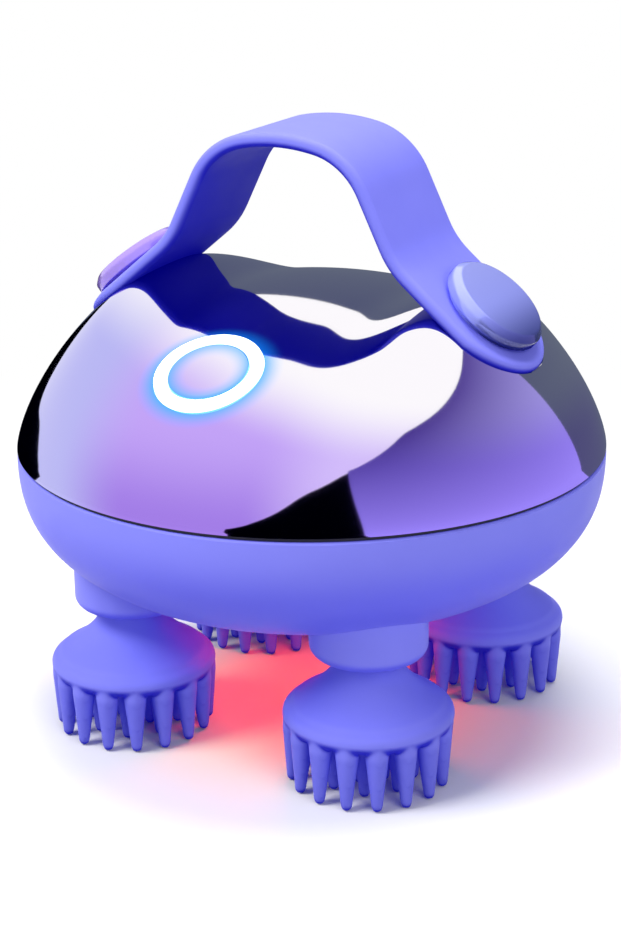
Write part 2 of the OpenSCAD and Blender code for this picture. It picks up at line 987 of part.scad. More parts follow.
module sun_gear() {
    color([0.93, 0.93, 0.95])
        translate([0, 0, sun_z])
            difference() {
                gear(sun_teeth, head_module, sun_t);
                translate([0, 0, -1])
                    cylinder(r = shaft_r, h = sun_t + 2, $fn = 6);
            }
}

module drive_gear(k) {
    color([0.93, 0.93, 0.95])
        at_head(k)
            translate([0, 0, sun_z])
                difference() {
                    rotate([0, 0, 180 + 180 / drive_teeth])
                        gear(drive_teeth, head_module, sun_t);
                    translate([0, 0, -1])
                        cylinder(r = spindle_r, h = sun_t + 2, $fn = 6);
                }
}

module spindle(k) {
    hex_top = neck_z + 0.4;
    top = mid_z + plate_t + 1;
    color(steel)
        at_head(k) {
            translate([0, 0, spindle_end])
                cylinder(r = spindle_r, h = hex_top - spindle_end, $fn = 6);
            translate([0, 0, hex_top - eps])
                cylinder(r = spindle_r, h = sun_z - hex_top + 2 * eps);
            translate([0, 0, sun_z])
                cylinder(r = spindle_r, h = sun_t, $fn = 6);
            translate([0, 0, sun_z + sun_t - eps])
                cylinder(r = spindle_r, h = top - sun_z - sun_t);
        }
}

module spindle_a() { spindle(0); }
module spindle_b() { spindle(1); }
module spindle_c() { spindle(2); }
module spindle_d() { spindle(3); }
module drive_gear_a() { drive_gear(0); }
module drive_gear_b() { drive_gear(1); }
module drive_gear_c() { drive_gear(2); }
module drive_gear_d() { drive_gear(3); }

// ---------- Massage heads ----------

// The stiff core that the soft head is moulded round
module hub_shape() {
    low = plate_z + 1.2;
    translate([0, 0, low])
        cylinder(r = hub_flange_r, h = hub_flange_t);
    translate([0, 0, low])
        cylinder(r = hub_r, h = neck_z - low);
}

module head_hub(k) {
    color(ivory)
        at_head(k)
            difference() {
                hub_shape();
                translate([0, 0, spindle_end - 0.4])
                    cylinder(r = spindle_r + socket_gap / cos(30), h = 20, $fn = 6);
            }
}

// Half section of the soft head: neck, hollow flare, round rim and flat underside
function head_outline() =
    let (flare_z = plate_z + 2 * rim_round)
    let (rise = neck_z - 1.6 - flare_z)
    let (run = rim_r - 0.6 - neck_r)
    concat([[0, neck_z], [neck_r, neck_z], [neck_r, neck_z - 1.6]],
        [for (i = [1:9]) let (t = i / 10)
            [neck_r + run * (0.35 * t + 0.65 * pow(t, 2.2)), neck_z - 1.6 - rise * (1.25 * t - 0.25 * t * t)]],
        arc(rim_r - rim_round, rim_z, rim_round, 72, -90, 9),
        [[0, plate_z]]);

module nub(length) {
    translate([0, 0, nub_tip_r - length])
        cylinder(r1 = nub_tip_r, r2 = nub_base_r, h = length - nub_tip_r + 0.6);
    translate([0, 0, nub_tip_r - length])
        sphere(r = nub_tip_r);
}

module nub_ring(count, r, lean) {
    // The tips of leaning and upright nubs all end on the ground
    length = (plate_z - nub_tip_r) / cos(lean) + nub_tip_r;
    for (i = [0:count - 1])
        rotate([0, 0, (i + 0.5) * 360 / count])
            translate([r, 0, plate_z])
                rotate([0, -lean, 0])
                    nub(length);
}

module massage_head(k) {
    color(soft_violet)
        at_head(k)
            union() {
                difference() {
                    rotate_extrude()
                        polygon(head_outline());
                    hub_shape();
                }
                nub_ring(outer_nubs, outer_ring_r, nub_lean);
                nub_ring(middle_nubs, middle_ring_r, 0);
                nub_ring(inner_nubs, inner_ring_r, 0);
            }
}

module head_hub_a() { head_hub(0); }
module head_hub_b() { head_hub(1); }
module head_hub_c() { head_hub(2); }
module head_hub_d() { head_hub(3); }
module massage_head_a() { massage_head(0); }
module massage_head_b() { massage_head(1); }
module massage_head_c() { massage_head(2); }
module massage_head_d() { massage_head(3); }

// ---------- Battery, lights and charging ----------

module battery_cell() {
    color([0.20, 0.55, 0.75])
        translate([-cell_len / 2, cell_y, cell_z])
            rotate([0, 90, 0]) {
                cylinder(r = cell_d / 2, h = cell_len - 1.2);
                cylinder(r = 3, h = cell_len);
            }
}

module battery_cradle() {
    length = cell_len + 3;
    cheek = 6;
    color([0.22, 0.22, 0.25])
        difference() {
            translate([-length / 2, cell_y - cell_d / 2, motor_z])
                cube([length, cell_d, cheek]);
            translate([-cell_len / 2 - 0.1, cell_y, cell_z])
                rotate([0, 90, 0])
                    cylinder(r = cell_d / 2 + 0.1, h = cell_len + 0.2);
        }
}

module led_window() {
    low = seam_z - bowl_depth;
    color([0.85, 0.10, 0.10]) {
        translate([0, 0, low + 0.1])
            cylinder(r = window_r - 0.1, h = wall / 2);
        translate([0, 0, low + wall / 2])
            cylinder(r = window_r + window_lip - 0.1, h = 1.4);
    }
}

module red_leds() {
    led = 3;
    led_h = 1.4;
    low = seam_z - bowl_depth + wall / 2 + 1.4 + led_gap;
    color([0.95, 0.35, 0.30])
        for (a = [30:60:330])
            rotate([0, 0, a])
                translate([7 - led / 2, -led / 2, low])
                    cube([led, led, led_h]);
}

module led_board() {
    low = seam_z - bowl_depth + wall / 2 + 1.4 + led_gap + 1.4;
    leg_z = seam_z - bowl_depth + wall / 2 + wall;
    color(board_green) {
        translate([0, 0, low])
            cylinder(r = 14, h = board_t);
        translate([0, 0, leg_z])
            ring(14, 13.2, low - leg_z + eps);
    }
}

module charge_socket() {
    front = body_r - wall / 2 - 0.7;
    shell = 0.4;
    back = 1.5;
    color(steel)
        difference() {
            translate([-port_w / 2, front - port_l, port_z - port_h / 2])
                cube([port_w, port_l, port_h]);
            translate([-port_w / 2 + shell, front - port_l + back, port_z - port_h / 2 + shell])
                cube([port_w - 2 * shell, port_l, port_h - 2 * shell]);
        }
}

module charge_board() {
    low = port_z - port_h / 2 - board_t;
    color(board_green)
        translate([-charge_w / 2, body_r - wall - 2.6 - charge_l, low])
            cube([charge_w, charge_l, board_t]);
}

module port_plug() {
    grip = 0.25;
    color(soft_violet)
        intersection() {
            translate([0, body_r, port_z]) {
                translate([-plug_w / 2 + grip, -wall / 2, -plug_h / 2 + grip])
                    cube([plug_w - 2 * grip, wall, plug_h - 2 * grip]);
                translate([-port_w / 2 + 1.2, -wall / 2 - 4, -port_h / 2 + 1])
                    cube([port_w - 2.4, 4.1, port_h - 2]);
            }
            bowl_solid(body_r, bowl_depth, 400);
        }
}

// ---------- Assembly ----------

lower_shell();
top_cover();
cover_gasket();
strap();
left_cap();
right_cap();
strap_screws();
cover_screws();
screw_plugs();
light_ring();
button_boot();
power_button();
button_spring();
main_board();
tact_switch();
ring_leds();
board_screws();
gearbox_base();
gearbox_middle();
gearbox_cover();
gearbox_screws();
shaft_bushes();
motor_can();
motor_screws();
motor_shaft();
pinion();
idler_shaft();
idler_gear();
sun_shaft();
wheel_gear();
sun_gear();
lower_bushes();
upper_bushes();
spindle_seals();
battery_cradle();
battery_cell();
led_window();
led_board();
red_leds();
charge_board();
charge_socket();
port_plug();
spindle_a();
spindle_b();
spindle_c();
spindle_d();
drive_gear_a();
drive_gear_b();
drive_gear_c();
drive_gear_d();
head_hub_a();
head_hub_b();
head_hub_c();
head_hub_d();
massage_head_a();
massage_head_b();
massage_head_c();
massage_head_d();
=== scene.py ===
"""Looks of the electric scalp massager.

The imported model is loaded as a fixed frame. Each sub-assembly below is a class
that holds its sizes in millimetres and builds detailed meshes in the frame's
own place: the plated cover, the soft-touch bowl, the strap handle with its end
caps, the lit button and the four massage heads. Internal parts keep their CAD
shapes and get their own finishes.
"""

import json
import logging
import math
from dataclasses import dataclass
from enum import Enum
from typing import Callable, Iterable, Sequence

import bmesh
import bpy
import numpy as np
from mathutils import Matrix, Vector
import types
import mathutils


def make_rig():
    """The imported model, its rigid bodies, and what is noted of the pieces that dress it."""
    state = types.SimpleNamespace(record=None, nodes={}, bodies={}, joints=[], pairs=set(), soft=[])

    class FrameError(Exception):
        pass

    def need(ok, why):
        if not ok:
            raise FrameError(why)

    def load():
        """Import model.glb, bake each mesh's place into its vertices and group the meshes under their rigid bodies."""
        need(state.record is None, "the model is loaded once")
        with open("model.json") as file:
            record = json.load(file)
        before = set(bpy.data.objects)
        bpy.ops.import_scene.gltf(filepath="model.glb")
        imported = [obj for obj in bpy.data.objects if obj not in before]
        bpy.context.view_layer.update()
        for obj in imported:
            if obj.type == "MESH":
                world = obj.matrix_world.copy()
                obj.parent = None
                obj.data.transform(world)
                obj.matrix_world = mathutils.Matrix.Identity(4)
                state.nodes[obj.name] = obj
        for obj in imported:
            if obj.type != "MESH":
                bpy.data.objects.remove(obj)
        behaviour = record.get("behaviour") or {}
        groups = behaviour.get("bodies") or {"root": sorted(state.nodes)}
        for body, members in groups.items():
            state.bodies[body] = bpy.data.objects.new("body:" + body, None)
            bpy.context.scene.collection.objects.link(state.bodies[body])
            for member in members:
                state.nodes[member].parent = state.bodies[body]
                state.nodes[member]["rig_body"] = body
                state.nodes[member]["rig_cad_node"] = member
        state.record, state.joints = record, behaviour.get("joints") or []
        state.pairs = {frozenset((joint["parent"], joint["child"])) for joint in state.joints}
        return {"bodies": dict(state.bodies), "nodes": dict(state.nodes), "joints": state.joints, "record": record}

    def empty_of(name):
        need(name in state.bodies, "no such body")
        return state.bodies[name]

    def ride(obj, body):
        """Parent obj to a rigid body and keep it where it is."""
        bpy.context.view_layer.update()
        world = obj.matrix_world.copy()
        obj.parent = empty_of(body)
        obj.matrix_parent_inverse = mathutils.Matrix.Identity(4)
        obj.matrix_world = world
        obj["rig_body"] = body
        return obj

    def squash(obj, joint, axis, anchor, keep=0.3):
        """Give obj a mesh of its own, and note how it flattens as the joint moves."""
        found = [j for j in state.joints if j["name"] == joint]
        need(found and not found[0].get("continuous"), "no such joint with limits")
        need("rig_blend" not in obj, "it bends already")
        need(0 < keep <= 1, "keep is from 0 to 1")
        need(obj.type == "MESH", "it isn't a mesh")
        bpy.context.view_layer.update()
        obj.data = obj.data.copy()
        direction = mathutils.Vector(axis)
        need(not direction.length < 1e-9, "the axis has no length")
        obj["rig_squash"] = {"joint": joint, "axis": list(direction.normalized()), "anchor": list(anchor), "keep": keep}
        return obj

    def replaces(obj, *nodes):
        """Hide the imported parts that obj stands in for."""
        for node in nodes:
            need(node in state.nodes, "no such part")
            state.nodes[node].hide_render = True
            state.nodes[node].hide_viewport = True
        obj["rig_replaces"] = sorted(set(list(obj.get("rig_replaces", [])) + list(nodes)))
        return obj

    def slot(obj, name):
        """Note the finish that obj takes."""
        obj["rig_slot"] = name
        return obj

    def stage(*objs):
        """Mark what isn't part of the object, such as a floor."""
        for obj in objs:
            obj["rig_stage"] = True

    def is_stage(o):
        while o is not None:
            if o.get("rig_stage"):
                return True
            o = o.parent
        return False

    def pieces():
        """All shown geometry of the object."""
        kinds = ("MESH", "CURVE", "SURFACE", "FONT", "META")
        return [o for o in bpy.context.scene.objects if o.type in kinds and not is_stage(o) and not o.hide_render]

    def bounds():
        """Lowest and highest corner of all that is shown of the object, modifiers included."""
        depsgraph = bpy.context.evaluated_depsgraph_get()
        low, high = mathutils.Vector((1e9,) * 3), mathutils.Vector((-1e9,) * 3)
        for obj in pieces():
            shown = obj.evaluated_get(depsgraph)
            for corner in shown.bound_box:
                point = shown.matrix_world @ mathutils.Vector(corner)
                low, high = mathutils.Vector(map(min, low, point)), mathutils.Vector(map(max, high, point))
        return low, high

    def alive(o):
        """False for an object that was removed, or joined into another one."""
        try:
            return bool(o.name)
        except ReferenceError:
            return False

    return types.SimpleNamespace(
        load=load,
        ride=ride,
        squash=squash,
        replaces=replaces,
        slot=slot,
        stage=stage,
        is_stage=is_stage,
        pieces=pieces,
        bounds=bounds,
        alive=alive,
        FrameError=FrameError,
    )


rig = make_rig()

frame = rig.load()
CAD_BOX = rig.bounds()

logging.basicConfig(level=logging.INFO, format="%(name)s: %(message)s")
log = logging.getLogger("scalp_massager")

# A millimetre in metres, and the angles in degrees over which the edges of
# turned and of soft pieces stay sharp
MM = 0.001
SHARP, SOFT = 32.0, 50.0
Profile = list[tuple[float, float]]
Colour = tuple[float, float, float]
# Middle of the lit ring on the cover, in millimetres
RING_CENTRE = (0.0, -39.1, 81.54)


# ---------- Geometry helpers ----------


def arc(cx: float, cy: float, r: float, a0: float, a1: float, n: int) -> Profile:
    """Points of an arc.

    Args:
        cx: Centre across.
        cy: Centre up.
        r: Radius.
        a0: First angle in degrees.
        a1: Last angle in degrees.
        n: Number of steps.

    Returns:
        The n + 1 points.
    """
    angles = [math.radians(a0 + (a1 - a0) * i / n) for i in range(n + 1)]
    return [(cx + r * math.cos(a), cy + r * math.sin(a)) for a in angles]


def softened(points: Profile, radii: dict[int, float], steps: int = 5) -> Profile:
    """Rounds chosen corners of an outline.

    Args:
        points: The outline.
        radii: Corner number to rounding distance along both edges.
        steps: Points per rounded corner.

    Returns:
        The outline with its corners rounded.
    """
    out: Profile = []
    for i, point in enumerate(points):
        if i not in radii:
            out.append(point)
            continue
        here, before, after = (np.array(points[k % len(points)], float) for k in (i, i - 1, i + 1))
        back = (before - here) / np.linalg.norm(before - here) * radii[i]
        ahead = (after - here) / np.linalg.norm(after - here) * radii[i]
        for k in range(steps + 1):
            t = k / steps
            spot = (1 - t) ** 2 * (here + back) + 2 * t * (1 - t) * here + t**2 * (here + ahead)
            out.append((float(spot[0]), float(spot[1])))
    return out


def mesh_object(name: str, points: np.ndarray, faces: Sequence[Sequence[int]],
                place: Matrix | None = None) -> bpy.types.Object:
    """Makes a smooth-shaded mesh object from points in millimetres.

    Args:
        name: Name of the piece.
        points: One row per vertex.
        faces: Vertex numbers of each face.
        place: Frame of the points, in millimetres.

    Returns:
        The object, at the origin, with its place in its mesh.
    """
    rows = np.asarray(points, float)
    if place is not None:
        full = np.array(place)
        rows = rows @ full[:3, :3].T + full[:3, 3]
    mesh = bpy.data.meshes.new(name)
    mesh.from_pydata((rows * MM).tolist(), [], [list(map(int, f)) for f in faces])
    mesh.validate()
    mesh.polygons.foreach_set("use_smooth", [True] * len(mesh.polygons))
    piece = bpy.data.objects.new(name, mesh)
    bpy.context.scene.collection.objects.link(piece)
    return piece


def lathe_data(outline: Profile, sides: int) -> tuple[np.ndarray, list[list[int]]]:
    """Turns an outline round the Z axis.

    Args:
        outline: Radius and height of each point; a radius of 0 is a pole.
        sides: Number of steps round the axis.

    Returns:
        The points and the faces.
    """
    points: list[tuple[float, float, float]] = []
    rings: list[list[int]] = []
    for r, z in outline:
        if r < 1e-6:
            rings.append([len(points)] * sides)
            points.append((0.0, 0.0, z))
            continue
        rings.append(list(range(len(points), len(points) + sides)))
        for k in range(sides):
            a = 2 * math.pi * k / sides
            points.append((r * math.cos(a), r * math.sin(a), z))
    faces: list[list[int]] = []
    for low, high in zip(rings, rings[1:]):
        for k in range(sides):
            quad = [low[k], low[(k + 1) % sides], high[(k + 1) % sides], high[k]]
            corners = list(dict.fromkeys(quad))
            if len(corners) > 2:
                faces.append(corners)
    return np.array(points), faces


def lathe(name: str, outline: Profile, sides: int = 96,
          place: Matrix | None = None) -> bpy.types.Object:
    """Makes a turned piece.

    Args:
        name: Name of the piece.
        outline: Radius and height of each point.
        sides: Number of steps round the axis.
        place: Frame of the axis, in millimetres.

    Returns:
        The object, with creases at its sharp corners.
    """
    return crease(outward(mesh_object(name, *lathe_data(outline, sides), place)), SHARP)


def reshaped(piece: bpy.types.Object,
             change: Callable[[bmesh.types.BMesh], object]) -> bpy.types.Object:
    """Runs one change on a piece's mesh."""
    shape = bmesh.new()
    shape.from_mesh(piece.data)
    change(shape)
    shape.to_mesh(piece.data)
    shape.free()
    return piece


def outward(piece: bpy.types.Object) -> bpy.types.Object:
    """Turns all faces of a closed piece outwards."""
    return reshaped(piece, lambda shape: bmesh.ops.recalc_face_normals(shape, faces=shape.faces))


def welded(piece: bpy.types.Object) -> bpy.types.Object:
    """Merges points that lie on each other."""
    return reshaped(piece, lambda shape: bmesh.ops.remove_doubles(
        shape, verts=shape.verts, dist=0.01 * MM))


def read(items: bpy.types.bpy_prop_collection, key: str, width: int = 3,
         kind: type = float) -> np.ndarray:
    """Reads one property of all items of a mesh.

    Args:
        items: Its vertices, loops, faces or corner normals.
        key: Name of the property.
        width: Numbers per item.
        kind: Type of the numbers.

    Returns:
        One row per item, or one number where the width is 1.
    """
    values = np.empty(len(items) * width, kind)
    items.foreach_get(key, values)
    return values.reshape(-1, width) if width > 1 else values


def crease(piece: bpy.types.Object, angle: float) -> bpy.types.Object:
    """Keeps edges over an angle in degrees sharp in a smooth-shaded piece."""
    piece.data.set_sharp_from_angle(angle=math.radians(angle))
    return piece


def joined(name: str, parts: Sequence[bpy.types.Object]) -> bpy.types.Object:
    """Joins parts into one piece.

    Args:
        name: Name of the joined piece.
        parts: Objects at the origin; they are removed.

    Returns:
        The new object.
    """
    points: list[np.ndarray] = []
    faces: list[list[int]] = []
    for part in parts:
        start = sum(len(p) for p in points)
        points.append(read(part.data.vertices, "co"))
        faces += [[start + v for v in face.vertices] for face in part.data.polygons]
        bpy.data.objects.remove(part)
    return crease(mesh_object(name, np.vstack(points) / MM, faces), SHARP)


def modified(piece: bpy.types.Object, kind: str, **settings: object) -> bpy.types.Object:
    """Applies one modifier to a piece.

    Args:
        piece: The object.
        kind: Blender's name of the modifier.
        settings: Its values.

    Returns:
        The same object with its new mesh.
    """
    step = piece.modifiers.new(kind.lower(), kind)
    for key, value in settings.items():
        setattr(step, key, value)
    bpy.context.view_layer.update()
    graph = bpy.context.evaluated_depsgraph_get()
    mesh = bpy.data.meshes.new_from_object(piece.evaluated_get(graph))
    piece.modifiers.clear()
    old = piece.data
    piece.data = mesh
    bpy.data.meshes.remove(old)
    piece.data.name = piece.name
    return piece


def cut(piece: bpy.types.Object, tools: Iterable[bpy.types.Object]) -> bpy.types.Object:
    """Cuts closed tool shapes out of a piece and removes the tools."""
    for tool in tools:
        modified(piece, "BOOLEAN", object=tool, operation="DIFFERENCE", solver="EXACT")
        log.info("%s cut by %s: %d faces", piece.name, tool.name, len(piece.data.polygons))
        bpy.data.objects.remove(tool)
    return piece


def prism_tool(name: str, plan: Profile, low: float, high: float,
               place: Matrix | None = None) -> bpy.types.Object:
    """Makes a straight-walled cutting tool along the Z axis of a frame, in millimetres."""
    count = len(plan)
    points = np.array([(x, y, z) for z in (low, high) for x, y in plan])
    faces = [[k, (k + 1) % count, count + (k + 1) % count, count + k] for k in range(count)]
    faces += [list(range(count)), list(range(count, 2 * count))]
    return outward(mesh_object(name, points, faces, place))


def rod_tool(name: str, r: float, low: float, high: float, place: Matrix | None = None,
             sides: int = 96) -> bpy.types.Object:
    """Makes a round cutting tool along the Z axis of a frame, in millimetres."""
    points, faces = lathe_data([(0, low), (r, low), (r, high), (0, high)], sides)
    return outward(mesh_object(name, points, faces, place))


def surface_normals(piece: bpy.types.Object,
                    rule: Callable[[np.ndarray], tuple[np.ndarray, np.ndarray]]) -> None:
    """Shades the corners on the surface a mesh was made from with its exact normals.

    The mesh and the rule come from one formula, so this evens out the cut
    faces' shading and adds no shape.

    Args:
        piece: An object whose mesh was cut.
        rule: Takes points in millimetres, and gives each one's normal on the
            surface and its distance from it.
    """
    reach, likeness = 0.06, 0.8
    mesh = piece.data
    vertex = read(mesh.loops, "vertex_index", 1, int)
    sizes = read(mesh.polygons, "loop_total", 1, int)
    face_normal = np.repeat(read(mesh.polygons, "normal"), sizes, axis=0)
    exact, off = rule(read(mesh.vertices, "co") / MM)
    current = read(mesh.corner_normals, "vector")
    mine = exact[vertex]
    near = (off[vertex] < reach) & ((mine * face_normal).sum(axis=1) > likeness)
    current[near] = mine[near]
    mesh.normals_split_custom_set(current.tolist())


# ---------- Finishes ----------


class Way(Enum):
    """Directions in which a finish drifts."""

    ACROSS = (1.0, 0.0, 0.0)
    UP = (0.0, 0.0, 1.0)
    UP_RIGHT = (0.2, 0.0, 1.0)


class Graph:
    """Adds nodes with their values and links to one node tree."""

    def __init__(self, tree: bpy.types.NodeTree) -> None:
        """Starts on the tree of a material, a world or a group."""
        self.tree = tree

    def feed(self, node: bpy.types.Node, inputs: dict[str | int, object]) -> bpy.types.Node:
        """Gives a node's inputs their values.

        Args:
            node: The node.
            inputs: Name or number of each input, with its value or the socket
                that leads to it.

        Returns:
            The same node.
        """
        for key, value in inputs.items():
            if isinstance(value, bpy.types.NodeSocket):
                self.tree.links.new(value, node.inputs[key])
            else:
                node.inputs[key].default_value = value
        return node

    def add(self, kind: str, inputs: dict[str | int, object] | None = None,
            **settings: object) -> bpy.types.Node:
        """Adds a node.

        Args:
            kind: Blender's name of the node, without ShaderNode in front.
            inputs: Values as feed() takes them.
            settings: The node's own settings.

        Returns:
            The node.
        """
        node = self.tree.nodes.new(f"ShaderNode{kind}")
        for key, value in settings.items():
            setattr(node, key, value)
        return self.feed(node, inputs or {})

    def place(self) -> bpy.types.NodeSocket:
        """Gives the place on the object, in its own space."""
        return self.add("TexCoord").outputs["Object"]

    def group(self, tree: bpy.types.NodeTree,
              inputs: dict[str | int, object] | None = None) -> bpy.types.bpy_prop_collection:
        """Places a shared group with its own values, and gives its outputs."""
        return self.add("Group", inputs, node_tree=tree).outputs

    def math(self, operation: str, first: object, second: object = 0.0) -> bpy.types.NodeSocket:
        """Works out one number from one or two others."""
        return self.add("Math", {0: first, 1: second}, operation=operation).outputs[0]

    def eased(self, value: bpy.types.NodeSocket, low: object, high: object,
              **ends: float) -> bpy.types.NodeSocket:
        """Eases a value between two limits, from 0 to 1 or between the ends given."""
        inputs = {"Value": value, "From Min": low, "From Max": high}
        inputs |= {key.replace("_", " "): end for key, end in ends.items()}
        return self.add("MapRange", inputs, interpolation_type="SMOOTHSTEP").outputs["Result"]

    def mix(self, share: object, *pair: Colour | bpy.types.NodeSocket) -> bpy.types.NodeSocket:
        """Mixes two colours by a share."""
        first, second = ((*c, 1.0) if isinstance(c, tuple) else c for c in pair)
        return self.add("Mix", {"Factor": share, "A": first, "B": second},
                        data_type="RGBA").outputs["Result"]

    def blend(self, share: object, first: bpy.types.NodeSocket,
              second: bpy.types.NodeSocket) -> bpy.types.NodeSocket:
        """Mixes two shaders by a share."""
        return self.add("MixShader", {0: share, 1: first, 2: second}).outputs[0]


def new_material(name: str) -> tuple[bpy.types.Material, Graph, bpy.types.Node]:
    """Makes a material, and gives it with its graph and its main shader."""
    material = bpy.data.materials.new(name)
    material.use_nodes = True
    graph = Graph(material.node_tree)
    return material, graph, graph.tree.nodes["Principled BSDF"]


Given = bpy.types.bpy_prop_collection
Wire = Callable[[Graph, Given], dict[str, bpy.types.NodeSocket]]


class Effect:
    """Shader node groups that several finishes share."""

    built: dict[str, bpy.types.NodeTree] = {}

    @classmethod
    def tree(cls, name: str, inputs: dict[str, float], outputs: Sequence[str],
             wire: Wire) -> bpy.types.NodeTree:
        """Gives a node group, built on its first use.

        Args:
            name: Name of the group.
            inputs: Number inputs with their usual values.
            outputs: Number outputs.
            wire: Adds the nodes, and gives the socket of each output.

        Returns:
            The group.
        """
        if name in cls.built:
            return cls.built[name]
        group = bpy.data.node_groups.new(name, "ShaderNodeTree")
        kind = "NodeSocketFloat"
        for label, value in inputs.items():
            socket = group.interface.new_socket(label, in_out="INPUT", socket_type=kind)
            socket.default_value = value
        for label in outputs:
            group.interface.new_socket(label, in_out="OUTPUT", socket_type=kind)
        graph = Graph(group)
        given = group.nodes.new("NodeGroupInput").outputs
        graph.feed(group.nodes.new("NodeGroupOutput"), wire(graph, given))
        cls.built[name] = group
        return group

    @classmethod
    def grain(cls) -> bpy.types.NodeTree:
        """Gives the fine moulded grain: a height and a slow cloudiness."""

        def wire(graph: Graph, given: Given) -> dict[str, bpy.types.NodeSocket]:
            """Adds a fine and a broad noise in object space."""
            spot = graph.place()
            return {label: graph.add("TexNoise", {"Vector": spot, "Scale": given[key],
                                                  "Detail": 3.0, "Roughness": 0.55}).outputs["Fac"]
                    for label, key in (("Height", "Scale"), ("Cloud", "Cloud Scale"))}

        usual = {"Scale": 2600.0, "Cloud Scale": 90.0}
        return cls.tree("moulded grain", usual, ("Height", "Cloud"), wire)

    @classmethod
    def brushed(cls) -> bpy.types.NodeTree:
        """Gives fine turned marks for metal parts."""

        def wire(graph: Graph, given: Given) -> dict[str, bpy.types.NodeSocket]:
            """Adds noise that is stretched along one axis."""
            spot = graph.add("Mapping", {"Vector": graph.place(), "Scale": (1.0, 1.0, 26.0)})
            noise = graph.add("TexNoise", {"Vector": spot.outputs["Vector"],
                                           "Scale": given["Scale"]})
            return {"Mark": noise.outputs["Fac"]}

        return cls.tree("turned marks", {"Scale": 300.0}, ("Mark",), wire)

    @classmethod
    def drift(cls, way: Way) -> bpy.types.NodeTree:
        """Gives a slow mask along one way through the object."""

        def wire(graph: Graph, given: Given) -> dict[str, bpy.types.NodeSocket]:
            """Eases the place along the way between its limits."""
            along = graph.add("VectorMath", {0: graph.place(), 1: way.value},
                              operation="DOT_PRODUCT").outputs["Value"]
            return {"Share": graph.eased(along, given["From"], given["To"])}

        usual = {"From": 0.0, "To": 1.0}
        return cls.tree(f"slow drift {way.name.lower()}", usual, ("Share",), wire)

    @classmethod
    def painted_downward_shade(cls) -> bpy.types.NodeTree:
        """Gives a mask of the faces that look down, for painted shade on them."""

        def wire(graph: Graph, given: Given) -> dict[str, bpy.types.NodeSocket]:
            """Eases the height of the surface normal between its limits."""
            normal = graph.add("NewGeometry").outputs["Normal"]
            rise = graph.add("SeparateXYZ", {"Vector": normal}).outputs["Z"]
            return {"Share": graph.eased(rise, given["Up"], given["Down"])}

        return cls.tree("downward faces", {"Up": 0.1, "Down": -0.5}, ("Share",), wire)

    @classmethod
    def ring_painted_glow(cls) -> bpy.types.NodeTree:
        """Gives the mask of a painted glow that fades with distance from the lit ring."""

        def wire(graph: Graph, given: Given) -> dict[str, bpy.types.NodeSocket]:
            """Measures the distance from the ring's middle line."""
            middle = tuple(v * MM for v in RING_CENTRE)
            gap = graph.add("VectorMath", {0: graph.place(), 1: middle},
                            operation="DISTANCE").outputs["Value"]
            off = graph.math("ABSOLUTE", graph.math("SUBTRACT", gap, given["Radius"]))
            return {"Leak": graph.eased(off, 0.0, given["Reach"], To_Min=1.0, To_Max=0.0)}

        usual = {"Radius": 9.2 * MM, "Reach": 5.2 * MM}
        return cls.tree("ring leak", usual, ("Leak",), wire)


@dataclass(frozen=True)
class Finish:
    """A moulded, painted or metal finish.

    The colour drifts slightly between two tones, and grain sets roughness and
    a fine bump. Faces that look down can take a deeper tone (under), which is
    painted shade; mirrors can show the piece in a tone of its own, which is a
    painted reflection; and a faint painted glow can lift its shade.
    """

    colour: Colour
    second: Colour | None = None
    rough: float = 0.5
    metallic: float = 0.0
    coat: float = 0.0
    sheen: float = 0.0
    subsurface: float = 0.0
    glow: float = 0.0
    grain_height: float = 0.015
    turned: bool = False
    specular: float = 0.5
    under: Colour | None = None
    painted_reflection_tone: Colour | None = None
    painted_fill_glow: Colour | None = None

    def build(self, name: str) -> bpy.types.Material:
        """Makes the material.

        Args:
            name: Its name.

        Returns:
            A node-based material with this finish.
        """
        rough_drift, second_share, smoothest = 0.08, 0.88, 0.02
        material, graph, shader = new_material(name)
        graph.feed(shader, {"Metallic": self.metallic, "Coat Weight": self.coat,
                            "Coat Roughness": 0.08, "Sheen Weight": self.sheen,
                            "Sheen Roughness": 0.35, "Specular IOR Level": self.specular})
        if self.subsurface:
            graph.feed(shader, {"Subsurface Weight": self.subsurface,
                                "Subsurface Radius": (0.6, 0.6, 1.0),
                                "Subsurface Scale": 1.5 * MM})
        grain = graph.group(Effect.grain())
        cloud = graph.group(Effect.brushed())["Mark"] if self.turned else grain["Cloud"]
        second = self.second or tuple(second_share * c for c in self.colour)
        tone = colour = graph.mix(cloud, self.colour, second)
        # Painted shade: faces that look down take the deeper under tone.
        if self.under:
            colour = graph.mix(graph.group(Effect.painted_downward_shade())["Share"], colour, self.under)
        # Painted reflection: mirrors see the piece in a tone of its own.
        if self.painted_reflection_tone:
            rays = graph.add("LightPath").outputs
            colour = graph.mix(rays["Is Glossy Ray"], colour, self.painted_reflection_tone)
        rough = graph.add("MapRange", {"Value": cloud,
                                       "To Min": max(smoothest, self.rough - rough_drift),
                                       "To Max": min(1.0, self.rough + rough_drift)})
        graph.feed(shader, {"Base Color": colour, "Roughness": rough.outputs["Result"]})
        # Painted glow: a faint even emission lifts the shade.
        if self.painted_fill_glow:
            graph.feed(shader, {"Emission Color": (*self.painted_fill_glow, 1.0),
                                "Emission Strength": 1.0})
        if self.grain_height:
            bump = graph.add("Bump", {"Strength": 0.5, "Distance": self.grain_height * MM,
                                      "Height": grain["Height"]})
            graph.feed(shader, {"Normal": bump.outputs["Normal"]})
        if self.glow:
            graph.feed(shader, {"Emission Strength": self.glow, "Emission Color": tone})
        return material


